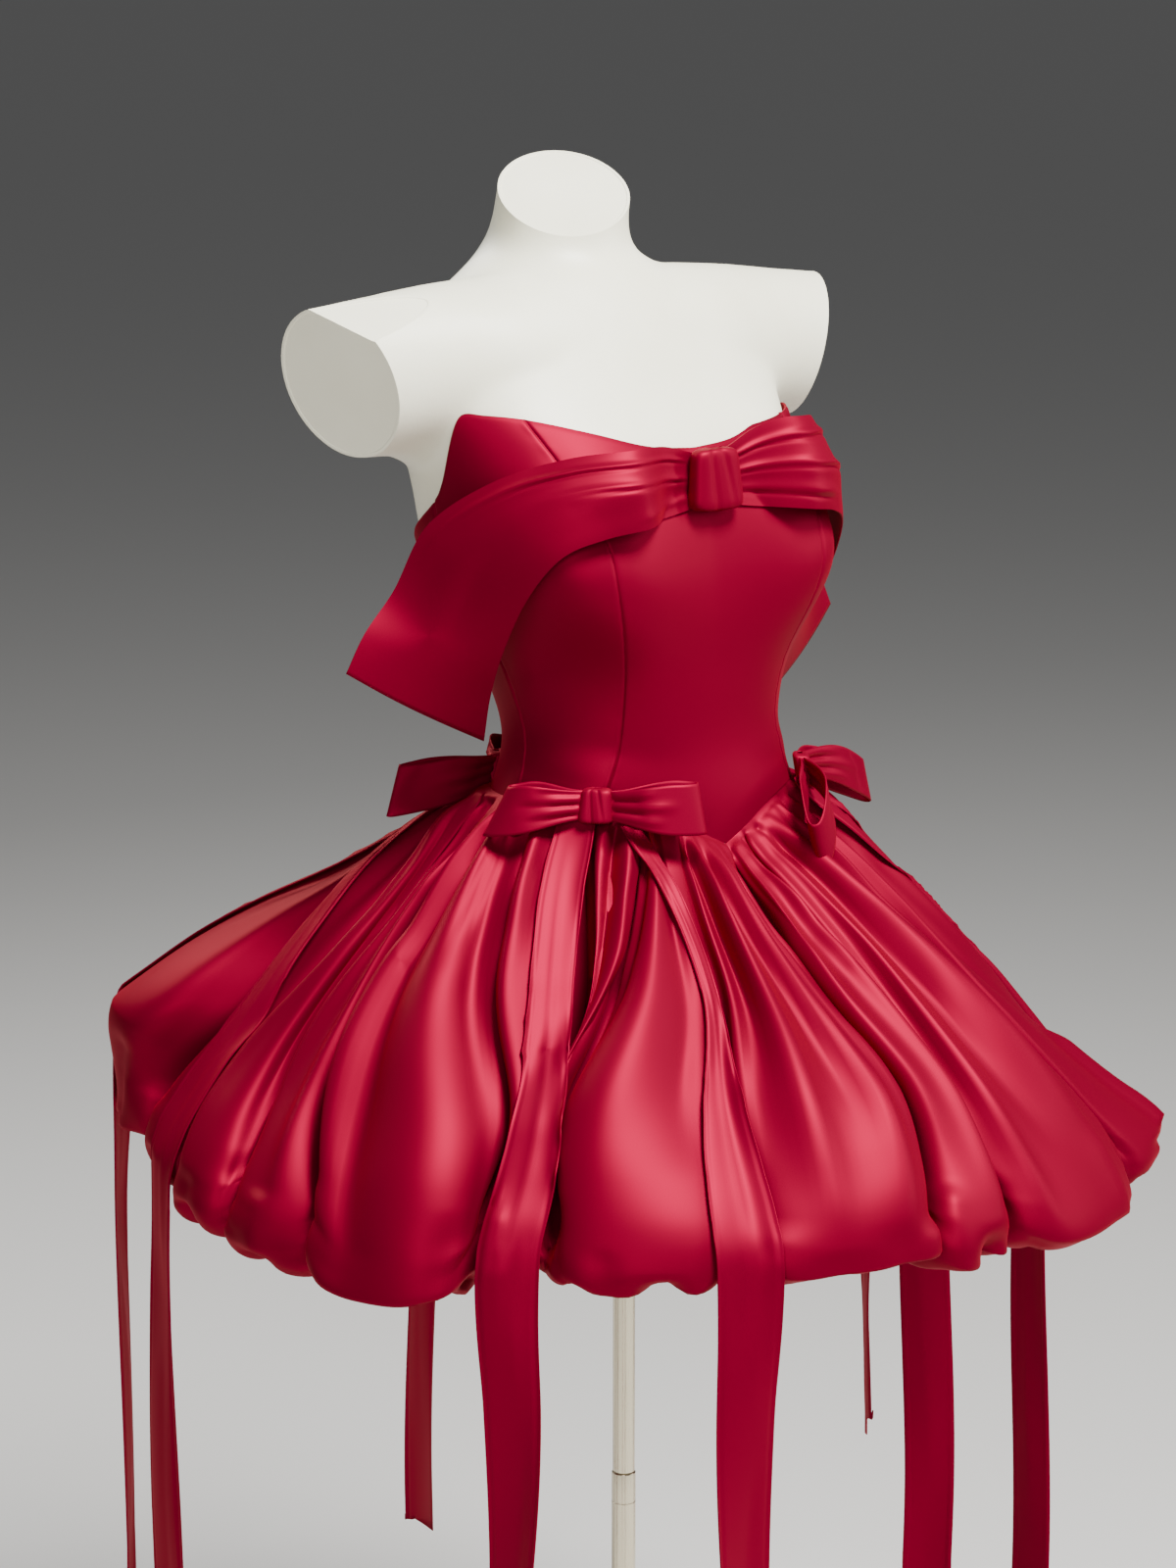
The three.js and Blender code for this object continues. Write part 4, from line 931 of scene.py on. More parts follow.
def duchess_satin(name, deep, bright, sheen):
    """Heavy polyester duchess satin, woven with long floats and calendered. The floats give soft
    streaked highlights in the cloth's own colour and a fine grain that runs down the cut. The UV
    map is in metres."""
    material, tree = new_material(name)
    place = add_node(tree, "ShaderNodeTexCoord").outputs["UV"]
    # threads lie 0.12 mm apart; the grain is drawn 2 by 5 mm so that it shows
    floats = add_node(tree, "ShaderNodeMapping", {"Vector": place, "Scale": (480, 200, 1)})
    grain = add_node(
        tree, "ShaderNodeTexNoise",
        {"Vector": floats.outputs["Vector"], "Scale": 1.0, "Detail": 3.0},
    )
    # dye and finish vary over a hand's width
    cloud_place = add_node(tree, "ShaderNodeMapping", {"Vector": place, "Scale": (14, 9, 1)})
    cloud = add_node(
        tree, "ShaderNodeTexNoise",
        {"Vector": cloud_place.outputs["Vector"], "Scale": 1.0, "Detail": 2.0},
    )
    # the grain counts over twice as much as the cloud
    both = add_node(
        tree, "ShaderNodeMath", {0: grain.outputs["Fac"], 1: 2.2, 2: cloud.outputs["Fac"]},
        operation="MULTIPLY_ADD",
    )
    share = add_node(
        tree, "ShaderNodeMapRange",
        {"Value": both.outputs["Value"], "From Min": 1.25, "From Max": 1.95,
         "To Min": 0.0, "To Max": 1.0},
    )
    colour = add_node(
        tree, "ShaderNodeMix",
        {"Factor": share.outputs["Result"], "A": linear(deep), "B": linear(bright)},
        data_type="RGBA",
    )
    rough = add_node(
        tree, "ShaderNodeMapRange",
        {"Value": grain.outputs["Fac"], "From Min": 0.3, "From Max": 0.7,
         "To Min": 0.42, "To Max": 0.62},
    )
    bump = add_node(
        tree, "ShaderNodeBump",
        {"Height": grain.outputs["Fac"], "Strength": 0.9, "Distance": 0.0014},
    )
    shader = add_node(
        tree, "ShaderNodeBsdfPrincipled",
        {
            "Base Color": colour.outputs["Result"],
            "Roughness": rough.outputs["Result"],
            "Normal": bump.outputs["Normal"],
            "Metallic": 0.5,
            "Specular IOR Level": 0.25,
            "Specular Tint": linear(sheen),
            "Sheen Weight": 0.12,
            "Sheen Roughness": 0.45,
            "Sheen Tint": linear(sheen),
            "Anisotropic": 0.35,
        },
    )
    show(tree, shader)
    return material


def moulded_form(name, colour):
    """Spray-finished fibreglass: smooth, warm white and softly glossy, with a faint orange peel."""
    material, tree = new_material(name)
    place = add_node(tree, "ShaderNodeTexCoord").outputs["Object"]
    # the peel's cells are about 2.5 mm across
    peel = add_node(tree, "ShaderNodeTexNoise", {"Vector": place, "Scale": 400.0, "Detail": 2.0})
    cloud = add_node(tree, "ShaderNodeTexNoise", {"Vector": place, "Scale": 9.0, "Detail": 3.0})
    tone = add_node(
        tree, "ShaderNodeMapRange",
        {"Value": cloud.outputs["Fac"], "From Min": 0.3, "From Max": 0.7,
         "To Min": 0.0, "To Max": 1.0},
    )
    shade = add_node(
        tree, "ShaderNodeMix",
        {"Factor": tone.outputs["Result"], "A": linear(colour), "B": linear("#eeead0")},
        data_type="RGBA",
    )
    bump = add_node(
        tree, "ShaderNodeBump",
        {"Height": peel.outputs["Fac"], "Strength": 0.12, "Distance": 0.0006},
    )
    shader = add_node(
        tree, "ShaderNodeBsdfPrincipled",
        {
            "Base Color": shade.outputs["Result"],
            "Roughness": 0.46,
            "Normal": bump.outputs["Normal"],
            "IOR": 1.5,
            "Coat Weight": 0.12,
            "Coat Roughness": 0.35,
        },
    )
    show(tree, shader)
    return material


def drawn_steel(name, colour, rough, streak):
    """Steel tube, drawn, polished along its length and lacquered champagne: bright, with fine
    lengthwise lines."""
    material, tree = new_material(name)
    place = add_node(tree, "ShaderNodeTexCoord").outputs["Object"]
    lines = add_node(tree, "ShaderNodeMapping", {"Vector": place, "Scale": streak})
    brushed = add_node(
        tree, "ShaderNodeTexNoise",
        {"Vector": lines.outputs["Vector"], "Scale": 1.0, "Detail": 4.0},
    )
    gloss = add_node(
        tree, "ShaderNodeMapRange",
        {"Value": brushed.outputs["Fac"], "From Min": 0.3, "From Max": 0.7,
         "To Min": rough - 0.05, "To Max": rough + 0.08},
    )
    bump = add_node(
        tree, "ShaderNodeBump",
        {"Height": brushed.outputs["Fac"], "Strength": 0.08, "Distance": 0.0003},
    )
    shader = add_node(
        tree, "ShaderNodeBsdfPrincipled",
        {
            "Base Color": linear(colour),
            "Roughness": gloss.outputs["Result"],
            "Normal": bump.outputs["Normal"],
            "Metallic": 1.0,
        },
    )
    show(tree, shader)
    return material


def finish_of(name):
    """The material with this name, made once."""
    made = bpy.data.materials.get(name)
    if made:
        return made
    if name == "duchess satin":
        return duchess_satin(name, "#4b0017", "#94002d", "#ff0a3c")
    if name == "ribbon satin":
        return duchess_satin(name, "#56001b", "#9c0031", "#ff0f40")
    if name == "moulded form":
        return moulded_form(name, "#f7f4dd")
    # the lines of drawn tube are long, those of turned and painted plate are as wide as long
    if name == "drawn steel":
        return drawn_steel(name, "#ddd3b9", 0.24, (2600, 2600, 30))
    if name == "turned steel":
        return drawn_steel(name, "#d2c8ae", 0.3, (700, 700, 700))
    return drawn_steel(name, "#5d5a55", 0.42, (500, 500, 500))


# Form and stand
def ring_solid(rings):
    """A closed bmesh through rings of points in millimetres, as a bridged stack of circles."""
    mesh = bmesh.new()
    loops = []
    for ring in rings:
        made = bmesh.ops.create_circle(mesh, cap_ends=False, segments=len(ring), radius=1)
        for vert, point in zip(made["verts"], ring):
            vert.co = Vector(point) / 1000
        loops.append([edge for edge in {e for v in made["verts"] for e in v.link_edges}])
    for low, high in zip(loops, loops[1:]):
        bmesh.ops.bridge_loops(mesh, edges=low + high)
    bmesh.ops.holes_fill(mesh, edges=loops[0] + loops[-1], sides=0)
    bmesh.ops.recalc_face_normals(mesh, faces=mesh.faces)
    return mesh


def make_stump(side):
    """One shoulder stump, running on past its cut."""
    turn = np.linspace(0, 2 * np.pi, 64, endpoint=False)
    x = np.append(np.linspace(STUMP["x"][0], STUMP_CUT[0], 16), STUMP_CUT[0] + STUMP_SPARE)
    get = {want: column(STUMP, "x", want, x)[:, None] for want in STUMP if want != "x"}
    up = get["tall"] * np.sin(turn)
    back = -get["deep"] * np.cos(turn)
    place = side * (x[:, None] + get["lean"] * up + get["yaw"] * back)
    return ring_solid(np.stack([place, get["mid"] + back, get["z"] + up], -1))


def make_form():
    """The form's torso and stumps as one skin, cut flat at the neck, the stumps and the foot."""
    z = np.concatenate([[TORSO_BOTTOM_Z - 6], np.arange(818, 1500, 7.0), [1530]])
    angles = np.linspace(0, 360, 120, endpoint=False)
    ease_in = BUST_EASE * ease((z - 1060) / 90) * ease((1345 - z) / 60)
    rings = body_point(angles[None, :], z[:, None], -ease_in[:, None])
    data = bpy.data.meshes.new("torso")
    whole = ring_solid(rings)
    for side in (1, -1):
        stump = make_stump(side)
        stump.to_mesh(data)
        stump.free()
        whole.from_mesh(data)
    whole.to_mesh(data)
    whole.free()
    rough = bpy.data.objects.new("torso", data)
    bpy.context.collection.objects.link(rough)
    bpy.context.view_layer.objects.active = rough
    skin = rough.modifiers.new("skin", "REMESH")
    skin.mode = "VOXEL"
    skin.voxel_size = 0.0042
    soft = rough.modifiers.new("soft", "SMOOTH")
    soft.factor = 0.5
    soft.iterations = 10
    evaluated = rough.evaluated_get(bpy.context.evaluated_depsgraph_get())
    mesh = bmesh.new()
    mesh.from_mesh(evaluated.to_mesh())
    evaluated.to_mesh_clear()
    bpy.data.objects.remove(rough)
    cut_flat(mesh, (0, NECK_AXIS_Y, NECK_CUT_Z), NECK_CUT_FACES)
    cut_flat(mesh, (0, 0, TORSO_BOTTOM_Z), (0, 0, -1))
    for side in (1, -1):
        mirror = Vector((side, 1, 1))
        cut_flat(mesh, mirror * Vector(STUMP_CUT), mirror * Vector(STUMP_CUT_FACES))
    return mesh


def cut_flat(mesh, point, out):
    """Cuts off what lies beyond a plane, through a point in millimetres, and closes the cut with a
    slightly sunk plate."""
    made = bmesh.ops.bisect_plane(
        mesh, geom=mesh.verts[:] + mesh.edges[:] + mesh.faces[:], plane_co=Vector(point) / 1000,
        plane_no=Vector(out).normalized(), clear_outer=True, dist=1e-6,
    )
    rim = [item for item in made["geom_cut"] if isinstance(item, bmesh.types.BMVert)]
    bmesh.ops.remove_doubles(mesh, verts=rim, dist=0.0012)
    edges = [edge for edge in mesh.edges if edge.is_boundary]
    cap = bmesh.ops.holes_fill(mesh, edges=edges, sides=0)["faces"]
    for edge in edges:
        edge.smooth = False
    for face in cap:
        face.normal_update()
    for thickness, depth in ((0.002, 0), (0.0006, -0.0006)):
        made = bmesh.ops.inset_region(
            mesh, faces=cap, thickness=thickness, depth=depth, use_boundary=True,
            use_even_offset=False,
        )
        for face in made["faces"]:
            face.smooth = True
    for face in cap:
        for edge in face.edges:
            edge.smooth = False


def turned_piece(name, node, outline, material, steps=96):
    """A turned solid of revolution about the pole's axis, spun from radius and height pairs."""
    mesh = bmesh.new()
    line = [mesh.verts.new((0, 0, outline[0][1] / 1000))]
    line += [mesh.verts.new((r / 1000, 0, z / 1000)) for r, z in outline]
    line.append(mesh.verts.new((0, 0, outline[-1][1] / 1000)))
    edges = [mesh.edges.new(pair) for pair in zip(line, line[1:])]
    bmesh.ops.spin(
        mesh, geom=line + edges, angle=2 * math.pi, steps=steps, axis=(0, 0, 1), cent=(0, 0, 0),
        use_merge=True,
    )
    bmesh.ops.remove_doubles(mesh, verts=mesh.verts, dist=1e-6)
    bmesh.ops.recalc_face_normals(mesh, faces=mesh.faces)
    for edge in mesh.edges:
        if edge.is_manifold and edge.calc_face_angle() > math.radians(32):
            edge.smooth = False
    return stands_for(finish_mesh(name, mesh), node, material)


def rounded(radius, z, size, steps=5):
    """The points of a turned outline's rounded upper corner."""
    turns = [math.pi / 2 * n / steps for n in range(steps + 1)]
    return [(radius - size * (1 - math.cos(a)), z - size * (1 - math.sin(a))) for a in turns]


# Knots, loops and tails
def knot_grid(middle, side, up, out, size):
    """The wrapped ribbon of a knot: a flat sleeve that closes in at its top and bottom."""
    t = np.linspace(-0.995, 0.995, 34)[None, :, None]
    a = np.linspace(0, 2 * np.pi, 73)[:, None, None]
    swell = (1 - np.abs(t) ** 10) ** 0.34 * (1 - 0.1 * t)
    power = 3.6
    full = (np.abs(np.cos(a)) ** power + np.abs(np.sin(a)) ** power) ** (-1 / power)
    front = np.clip(np.cos(a), 0, 1)
    across = full * np.sin(a)
    groove = 1 - front * (
        0.16 * np.exp(-(((across + 0.3 + 0.12 * t) / 0.09) ** 2))
        + 0.12 * np.exp(-(((across - 0.34 + 0.2 * t) / 0.1) ** 2))
        + 0.05 * np.cos(5 * across + 0.8)
    )
    return (
        middle
        + up * (size["tall"] * t)
        + side * (size["wide"] * full * np.sin(a) * swell)
        + out * (size["deep"] * full * np.cos(a) * swell * groove)
    )


def loop_grid(middle, side, up, out, droop, bend, swing, slant, share):
    """One loop of a waist bow, swung out from its knot to be clear of the dress."""
    a = np.linspace(0, 2 * np.pi, 81)[:, None]
    h = np.linspace(-1, 1, 17)[None, :]
    far = 0.5 - 0.5 * np.cos(a)
    x = LOOP_START + (LOOP_LONG * share - slant * h * far) * far
    opened = 0.36 + 0.64 * ease(far / 0.6)
    e = LOOP_HALF_DEEP * opened * np.sign(np.sin(a)) * np.abs(np.sin(a)) ** 0.8
    tall = mix(*LOOP_HALF_TALL, ease(far * 1.3))
    grid = (
        middle
        + side * x[..., None]
        + out * (e + 0 * h + share * (swing * far - bend * far**2))[..., None]
        + up * (h * tall - share * droop * far**2)[..., None]
    )
    scale = np.broadcast_to(tall, (len(a), h.shape[1]))
    height = crease_height(LOOP_CREASES, h, far + 0 * h, scale) * ease(far / 0.05)
    return grid + normals_of(grid, 1) * height[..., None]


def tail_grid(n, reach):
    """One ribbon tail: laid on the skirt from its knot down, then hanging free."""
    row = {name: TAILS[name][n] for name in TAILS}
    path = {
        "z": np.array([740, 825, 895, 962, 1010]),
        "a": np.array([row["a740"], row["a825"], row["a895"], row["a962"], row["start"]], float),
    }
    end = float(row["end"])
    z = np.concatenate([np.arange(1011, 700, -4.0), np.arange(700, end, -7.0), [end]])[:, None]
    side = (2 * towards_edges(25) - 1)[None, :]
    angle = column(path, "z", "a", z)
    width = mix(float(row["folded"]), RIBBON_WIDTH, ease((900 - z) / 150))
    spread = np.degrees(width / 2 / np.maximum(120, reach.at(angle, z, True)))
    near = [
        reach.at(angle + side * spread * 1.04 + turn, z + step, True)
        for turn in (-0.5, 0, 0.5) for step in (-3, 0, 3)
    ]
    under = np.maximum.reduce(near)
    # the ribbon bridges what is narrower than itself
    cover = mix(under, under.max(axis=1)[:, None], 0.6)
    for _ in range(24):
        wide = np.pad(cover, ((1, 1), (1, 1)), mode="edge")
        around = wide[:-2, 1:-1] + wide[2:, 1:-1] + wide[1:-1, :-2] + wide[1:-1, 2:]
        cover = np.maximum(0.5 * cover + 0.125 * around, under)
    clear = float(row["clear"]) + RIBBON_CLOTH
    flat = np.maximum.accumulate(cover.max(axis=1))[:, None] + clear
    loose = ease((735 - z) / 110)
    turn = float(row["twist"]) * ease((700 - z) / 260)
    laid = heading(angle + side * spread) * mix(cover + clear, flat, loose)[..., None]
    fall = (735 - z) / 500
    curl = loose * (3.2 * np.sin(2.6 * fall * np.pi + float(row["slant"])) * (1 - side**2))
    hung = heading(angle) * flat[..., None]
    hung = hung + heading(angle + 90 + turn) * (side * width / 2)[..., None]
    hung = hung + heading(angle + turn) * curl[..., None]
    drift = loose * float(row["sway"]) * np.sin(np.pi * np.clip(fall, 0, 1) * 1.7)
    points = laid * (1 - loose[..., None]) + hung * loose[..., None]
    points = points + heading(angle + 90) * drift[..., None] + SKIRT_AXIS
    points[..., 2] = z
    points[-1, :, 2] += side[0] * float(row["slant"])
    points[-2, :, 2] += side[0] * float(row["slant"]) * 0.4
    along = (1011 - z) / (1011 - end)
    height = crease_height(TAIL_CREASES, side, along, np.broadcast_to(width / 2, cover.shape))
    height = np.where(loose > 0.2, height, np.maximum(height, -0.6))
    return points + normals_of(points, 1) * height[..., None]


# Chest bow
def clear_of_body(points, out):
    """Moves points out to at least this distance from the bodice."""
    z = np.clip(points[..., 2], 1008, 1300)
    middle = column(TORSO, "z", "mid", z)
    x = points[..., 0]
    y = points[..., 1] - middle
    need = torso_radius(np.degrees(np.arctan2(x, -y)), z) + BODICE_OUT + out
    share = np.maximum(need / np.hypot(x, y), 1)
    return np.stack([x * share, middle + y * share, points[..., 2]], -1)


def band_grid(name, side):
    """One side of the chest bow, from the knot out to the end of its standing flap."""
    s = np.linspace(0, 1, 110)[:, None]
    v = towards_edges(54)[None, :]
    at = {want: column(BAND, "s", want, s) for want in BAND if want != "s"}
    points = np.stack(
        [mix(at["ux"], at["lx"], v), mix(at["uy"], at["ly"], v), mix(at["uz"], at["lz"], v)], -1,
    )
    away = points * [1, 1, 0] - [0, 20, 0]
    away = away / np.linalg.norm(away, axis=2, keepdims=True)
    pleat = 0.5 * np.cos(4 * np.pi * v) * (1 - ease((s - 0.5) / 0.5))
    points = points + away * (at["puff"] * np.sin(np.pi * v) + pleat)[..., None]
    points = clear_of_body(points, BAND_CLOTH + 0.4)
    scale = np.linalg.norm(points[:, -1] - points[:, 0], axis=1)[:, None] + 0 * v
    height = crease_height(BAND_CREASES[name], v, s, scale)
    points = clear_of_body(points + away * height[..., None], BAND_CLOTH + 0.4)
    if side > 0:
        points[..., 2] += LEFT_BAND_LIFT * (1 - v) ** 1.5 * ease(s / 0.25) * ease((0.8 - s) / 0.3)
    points[..., 0] *= -side
    return points


def place_chest_knot():
    """The chest knot's middle, as deep as its solid lies."""
    low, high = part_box("chest_knot")
    return np.array([0, (low[1] + high[1]) * 500, CHEST_KNOT_Z])


# Bodice
def bodice_grid(panel):
    """One bodice panel between two lengthwise seams, dipping a little into each seam."""
    _, seam_a, seam_b, sign_a, sign_b = panel
    across = towards_edges(56)[:, None]
    down = towards_edges(72)[None, :]
    z = np.full((56, 72), 1100.0)
    for _ in range(8):
        start = sign_a * column(BODICE_SEAMS, "z", seam_a, z)
        end = sign_b * column(BODICE_SEAMS, "z", seam_b, z)
        if seam_a == "centre":
            start = start * 0 - 180
        angle = mix(start, end, across)
        z = mix(edge_height(angle), seam_height(angle) + SEAM_GAP / 2, down)
    points = body_point(angle, z, BODICE_OUT)
    width = np.linalg.norm(points[-1] - points[0], axis=1)[None, :]
    width = width * across * (1 - across) * 4 + 1e-3
    from_seam = np.minimum(across, 1 - across) * width.max()
    seam = -1.2 * np.exp(-((from_seam / 1.1) ** 2)) + 0.15 * np.exp(-(((from_seam - 4) / 3) ** 2))
    waves = np.sin(z * 2 * np.pi / 13 + 2 * np.sin(z / 31))
    pucker = 0.22 * np.exp(-((from_seam / 7) ** 2)) * waves
    low = edge_height(angle) - z
    rolled = -0.9 * np.exp(-((low / 1.6) ** 2))
    drag = 0.9 * np.sin((z - 1000) / 7.5 + 0.05 * angle) * np.exp(-(((z - 1035) / 24) ** 2))
    drag = drag * np.exp(-(((from_front(angle) - 62) / 26) ** 2))
    return points + heading(angle) * (seam + pucker + rolled + np.maximum(drag, -0.5))[..., None]


# Settings that a user would change
class DressSettings(bpy.types.PropertyGroup):
    """Sizes of the dress."""

    bodice_cloth: bpy.props.FloatProperty(
        name="Bodice cloth", description="Thickness of the boned satin",
        default=BODICE_CLOTH / 1000, unit="LENGTH",
    )
    skirt_cloth: bpy.props.FloatProperty(
        name="Skirt cloth", description="Thickness of the satin with its underlay",
        default=SKIRT_CLOTH / 1000, unit="LENGTH",
    )
    ribbon_cloth: bpy.props.FloatProperty(
        name="Ribbon cloth", description="Thickness of the doubled ribbon",
        default=RIBBON_CLOTH / 1000, unit="LENGTH",
    )


class DRESS_OT_form(bpy.types.Operator):
    """Make the moulded torso"""

    bl_idname = "dress.form"
    bl_label = "Form"

    def execute(self, context):
        piece = finish_mesh("moulded_torso", make_form())
        stands_for(piece, "form_torso", finish_of("moulded form"))
        return {"FINISHED"}


class DRESS_OT_stand(bpy.types.Operator):
    """Make the flange, the two pole lengths and the base plate"""

    bl_idname = "dress.stand"
    bl_label = "Stand"

    def execute(self, context):
        flange_top = TORSO_BOTTOM_Z - SEAM_GAP
        flange_foot = flange_top - FLANGE_HEIGHT
        turned_piece(
            "flange", "form_flange",
            [(FLANGE_NECK_RADIUS, flange_foot),
             *rounded(FLANGE_NECK_RADIUS, flange_top - FLANGE_SLOPE, 0.1),
             *rounded(FLANGE_RADIUS, flange_top, 2)],
            finish_of("dark flange"),
        )
        low = POLE_JOINT_Z + SEAM_GAP / 2
        turned_piece(
            "pole_top_length", "pole_upper",
            [(POLE_UPPER_RADIUS - 0.4, low), (POLE_UPPER_RADIUS, low + 0.5),
             (POLE_UPPER_RADIUS, flange_foot - SEAM_GAP)],
            finish_of("drawn steel"),
        )
        foot = BASE_THICK + BOSS_HEIGHT + SEAM_GAP
        groove_z = POLE_JOINT_Z - COLLAR_HEIGHT
        groove_radius = POLE_LOWER_RADIUS - GROOVE_DEPTH
        turned_piece(
            "pole_low_length", "pole_lower",
            [(POLE_LOWER_RADIUS, foot), (POLE_LOWER_RADIUS, groove_z),
             (groove_radius, groove_z + 0.3), (groove_radius, groove_z + 1.1),
             (POLE_LOWER_RADIUS, groove_z + 1.4),
             *rounded(POLE_LOWER_RADIUS, POLE_JOINT_Z - SEAM_GAP / 2, 1)],
            finish_of("drawn steel"),
        )
        top = BASE_THICK + BOSS_HEIGHT
        turned_piece(
            "base", "base_plate",
            [(BASE_RADIUS - 1, 0), (BASE_RADIUS, 0.8), *rounded(BASE_RADIUS, BASE_THICK, 2.5),
             (BOSS_RADIUS + 3, BASE_THICK), (BOSS_RADIUS + 0.9, BASE_THICK + 0.9),
             (BOSS_RADIUS, BASE_THICK + 3), *rounded(BOSS_RADIUS, top, 2),
             (POLE_LOWER_RADIUS + 1.2, top), (POLE_LOWER_RADIUS + 0.6, top - 0.6)],
            finish_of("turned steel"), steps=144,
        )
        return {"FINISHED"}


class DRESS_OT_bodice(bpy.types.Operator):
    """Make the seven bodice panels"""

    bl_idname = "dress.bodice"
    bl_label = "Bodice"

    def execute(self, context):
        thick = context.scene.dress.bodice_cloth * 1000 - WALL_INSET
        satin = finish_of("duchess satin")
        for panel in BODICE_PANELS:
            name = panel[0]
            cut = name.removesuffix("_left").removesuffix("_right")
            cloth_piece(
                name, bodice_grid(panel), cut, "stretched", ["form_torso"], thick, satin, flip=True,
            )
        return {"FINISHED"}


class DRESS_OT_skirt(bpy.types.Operator):
    """Make the four panels of the balloon skirt"""

    bl_idname = "dress.skirt"
    bl_label = "Skirt"

    def execute(self, context):
        thick = context.scene.dress.skirt_cloth * 1000 - 2 * WALL_INSET
        satin = finish_of("duchess satin")
        points = whole_skirt()
        for panel in SKIRT_PANELS:
            name = panel[0]
            cloth_piece(
                name, skirt_panel(points, panel), name, "gathered", ["bodice_front"], thick, satin,
                flip=True,
            )
        return {"FINISHED"}


class DRESS_OT_chest_bow(bpy.types.Operator):
    """Make the chest bow: its two sides and its knot"""

    bl_idname = "dress.chest_bow"
    bl_label = "Chest bow"

    def execute(self, context):
        satin = finish_of("duchess satin")
        for name, side in (("chest_band_right", -1), ("chest_band_left", 1)):
            cloth_piece(
                name, band_grid(name, side), "chest_band", "draped", ["bodice_front"],
                BAND_CLOTH - WALL_INSET, satin, flip=side > 0,
            )
        middle = place_chest_knot()
        axes = np.array([1.0, 0, 0]), np.array([0, 0.06, 1.0]), np.array([0, -1.0, 0])
        knot = knot_grid(middle, *axes, CHEST_KNOT)
        cloth_piece(
            "chest_knot", knot, "chest_knot", "folded", ["bodice_front"],
            CHEST_KNOT_CLOTH, satin, ring=True,
        )
        return {"FINISHED"}


class DRESS_OT_waist_bows(bpy.types.Operator):
    """Make the four waist bows, two loops and a knot each"""

    bl_idname = "dress.waist_bows"
    bl_label = "Waist bows"

    def execute(self, context):
        thick = context.scene.dress.ribbon_cloth * 1000
        for bow in BOWS:
            out = heading(bow["angle"])
            side = heading(bow["angle"] + 90)
            up = np.array([0, 0, 1.0]) - BOW_LEAN * out
            up = up / np.linalg.norm(up)
            low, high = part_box(bow["name"] + "_knot")
            middle = np.array([low[0] + high[0], low[1] + high[1], 0]) * 500 + [0, 0, bow["z"]]
            ribbon = {"held": "folded", "rests_on": ["skirt_front"], "thick": thick,
                      "material": finish_of("ribbon satin"), "slot": "bow_satin", "ring": True}
            cloth_piece(
                bow["name"] + "_knot", knot_grid(middle, side, up, out, BOW_KNOT), "knot", **ribbon,
            )
            pairs = (bow[want] for want in ("droop", "bend", "swing", "slant", "share"))
            for letter, way, *bent in zip("ab", (-1, 1), *pairs):
                points = loop_grid(middle, side * way, up, out, *bent)
                cut = (line_length(points[:, 8], 3), LOOP_FLAT_WIDTH / 1000, None)
                cloth_piece(bow["name"] + "_loop_" + letter, points, cut, flip=way > 0, **ribbon)
        return {"FINISHED"}


class DRESS_OT_tails(bpy.types.Operator):
    """Make the eight ribbon tails"""

    bl_idname = "dress.tails"
    bl_label = "Ribbon tails"

    def execute(self, context):
        thick = context.scene.dress.ribbon_cloth * 1000
        reach = Reach()
        for n, name in enumerate(TAILS["name"]):
            points = tail_grid(n, reach)
            cut = (RIBBON_WIDTH / 1000, line_length(points[:, 12], 2), None)
            cloth_piece(
                str(name), points, cut, "hung", ["skirt_front"], thick, finish_of("ribbon satin"),
                slot="bow_satin",
            )
        return {"FINISHED"}


# Studio: name, angle from the front, height, distance, size across and up, power
STUDIO_LIGHTS = (
    ("key", 4, 3.4, 1.4, (1.1, 0.9), 235),
    ("strip", 50, 2.0, 2.4, (0.3, 1.9), 30),
    ("fill", -46, 1.9, 3.2, (1.4, 1.6), 44),
    ("back", 178, 2.6, 2.4, (1.4, 1.0), 40),
)
LIGHT_AIM_Z = 1.0
CAMERA_AZIMUTH = -40
CAMERA_ELEVATION = 12
CAMERA_TARGET = (-0.022, 0.019, 1.0)
CAMERA_DISTANCE = 3.2
CAMERA_LENS = 93.6


def view_direction(azimuth, elevation):
    """From the object towards the camera."""
    a = math.radians(azimuth)
    e = math.radians(elevation)
    return Vector((math.sin(a) * math.cos(e), -math.cos(a) * math.cos(e), math.sin(e)))


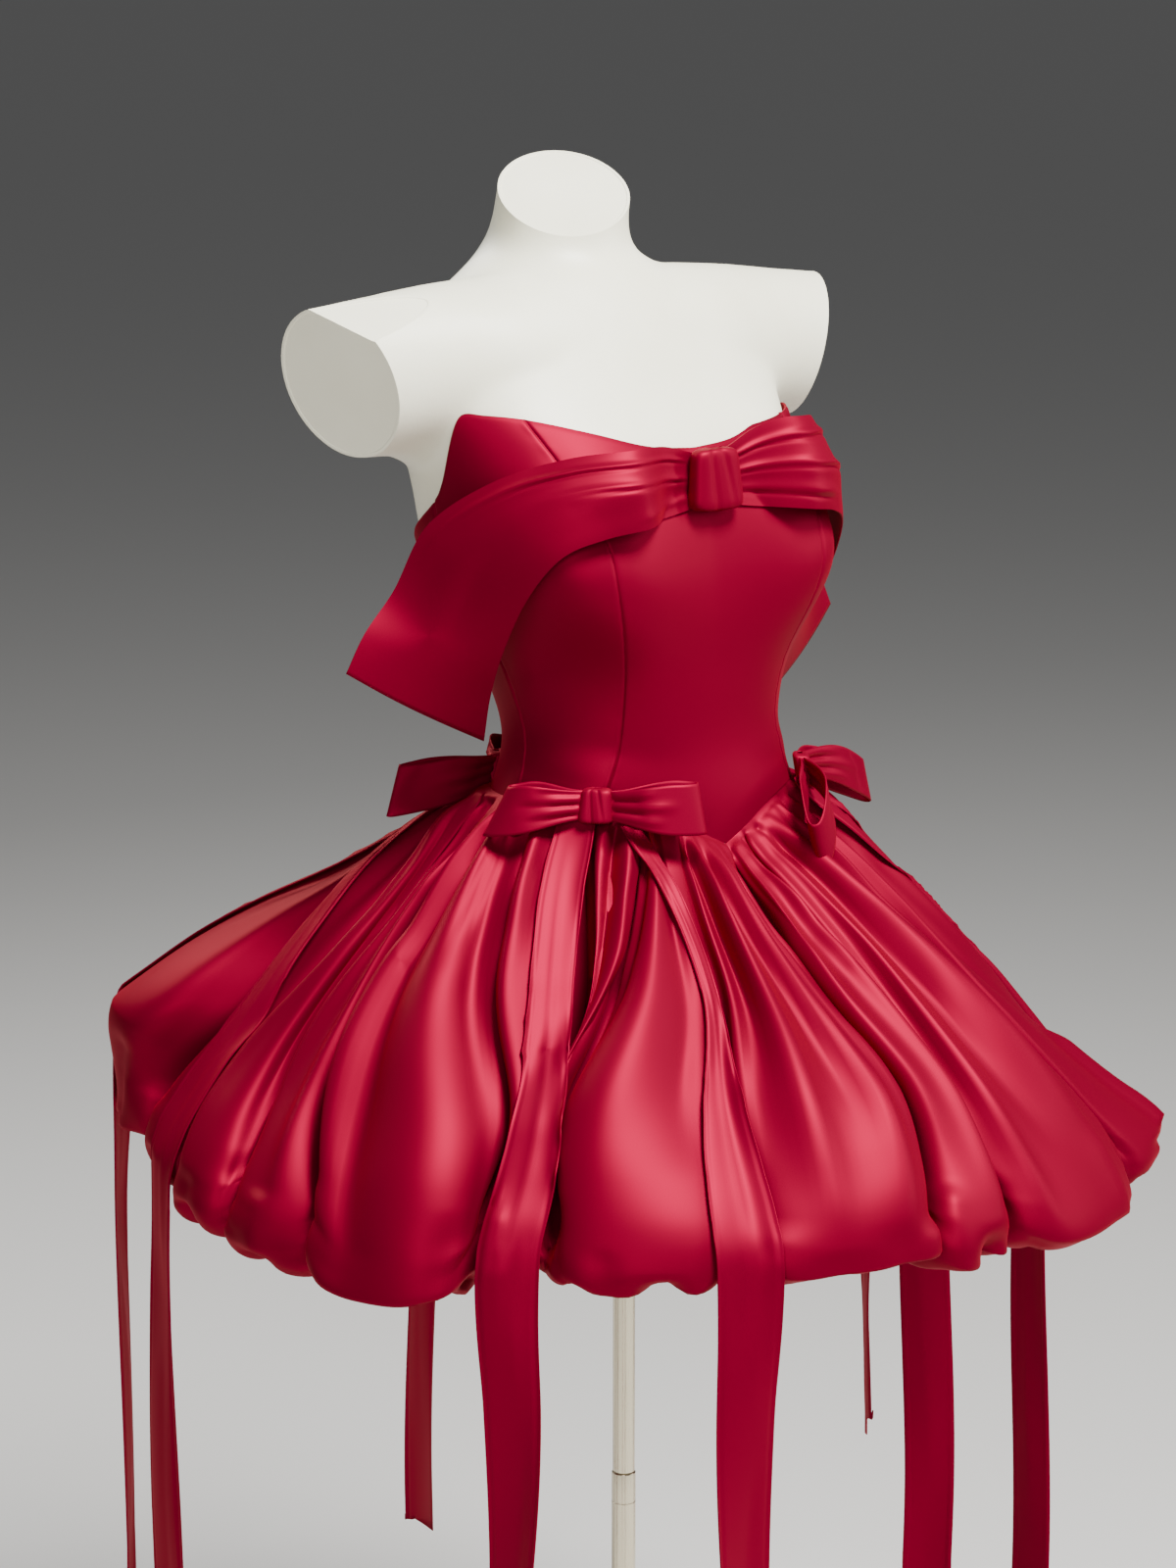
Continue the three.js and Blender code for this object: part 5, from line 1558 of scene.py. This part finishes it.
class DRESS_OT_stage(bpy.types.Operator):
    """Make the floor, the lights and the camera"""

    bl_idname = "dress.stage"
    bl_label = "Stage"

    def execute(self, context):
        mesh = bmesh.new()
        bmesh.ops.create_grid(mesh, x_segments=1, y_segments=1, size=150)
        floor = finish_mesh("floor", mesh, smooth=False)
        material, tree = new_material("pale floor")
        shader = add_node(
            tree, "ShaderNodeBsdfPrincipled", {"Base Color": linear("#d9d7d3"), "Roughness": 0.85},
        )
        show(tree, shader)
        floor.data.materials.append(material)
        world = bpy.data.worlds.new("studio")
        world.use_nodes = True
        back = world.node_tree.nodes["Background"]
        back.inputs["Color"].default_value = linear("#e8eaee")
        back.inputs["Strength"].default_value = 0.14
        context.scene.world = world
        for name, angle, height, away, size, power in STUDIO_LIGHTS:
            lamp = bpy.data.lights.new(name, "AREA")
            lamp.shape = "RECTANGLE"
            lamp.size, lamp.size_y = size
            lamp.energy = power
            lamp_object = bpy.data.objects.new(name, lamp)
            place = Vector(heading(angle)) * away + Vector((0, 0, height))
            lamp_object.location = place
            aim = Vector((0, 0, LIGHT_AIM_Z)) - place
            lamp_object.rotation_mode = "QUATERNION"
            lamp_object.rotation_quaternion = aim.to_track_quat("-Z", "Y")
            context.collection.objects.link(lamp_object)
        camera = bpy.data.cameras.new("camera")
        camera.lens = CAMERA_LENS
        camera.sensor_width = 36
        seen = bpy.data.objects.new("camera", camera)
        back_way = view_direction(CAMERA_AZIMUTH, CAMERA_ELEVATION)
        seen.location = Vector(CAMERA_TARGET) + back_way * CAMERA_DISTANCE
        seen.rotation_mode = "QUATERNION"
        seen.rotation_quaternion = (-back_way).to_track_quat("-Z", "Y")
        context.collection.objects.link(seen)
        context.scene.camera = seen
        return {"FINISHED"}


class DRESS_PT_panel(bpy.types.Panel):
    """Lists the dress's operators"""

    bl_label = "Homecoming dress"
    bl_space_type = "VIEW_3D"
    bl_region_type = "UI"
    bl_category = "Dress"

    def draw(self, context):
        for name in ("bodice_cloth", "skirt_cloth", "ribbon_cloth"):
            self.layout.prop(context.scene.dress, name)
        for operator in OPERATORS:
            self.layout.operator(operator.bl_idname)


OPERATORS = (
    DRESS_OT_form,
    DRESS_OT_stand,
    DRESS_OT_bodice,
    DRESS_OT_skirt,
    DRESS_OT_chest_bow,
    DRESS_OT_waist_bows,
    DRESS_OT_tails,
    DRESS_OT_stage,
)


def register():
    for part in (DressSettings, *OPERATORS, DRESS_PT_panel):
        bpy.utils.register_class(part)
    bpy.types.Scene.dress = bpy.props.PointerProperty(type=DressSettings)


def unregister():
    del bpy.types.Scene.dress
    for part in reversed((DressSettings, *OPERATORS, DRESS_PT_panel)):
        bpy.utils.unregister_class(part)


def main():
    register()
    for operator in OPERATORS:
        group, call = operator.bl_idname.split(".")
        getattr(getattr(bpy.ops, group), call)()


if __name__ == "__main__":
    main()
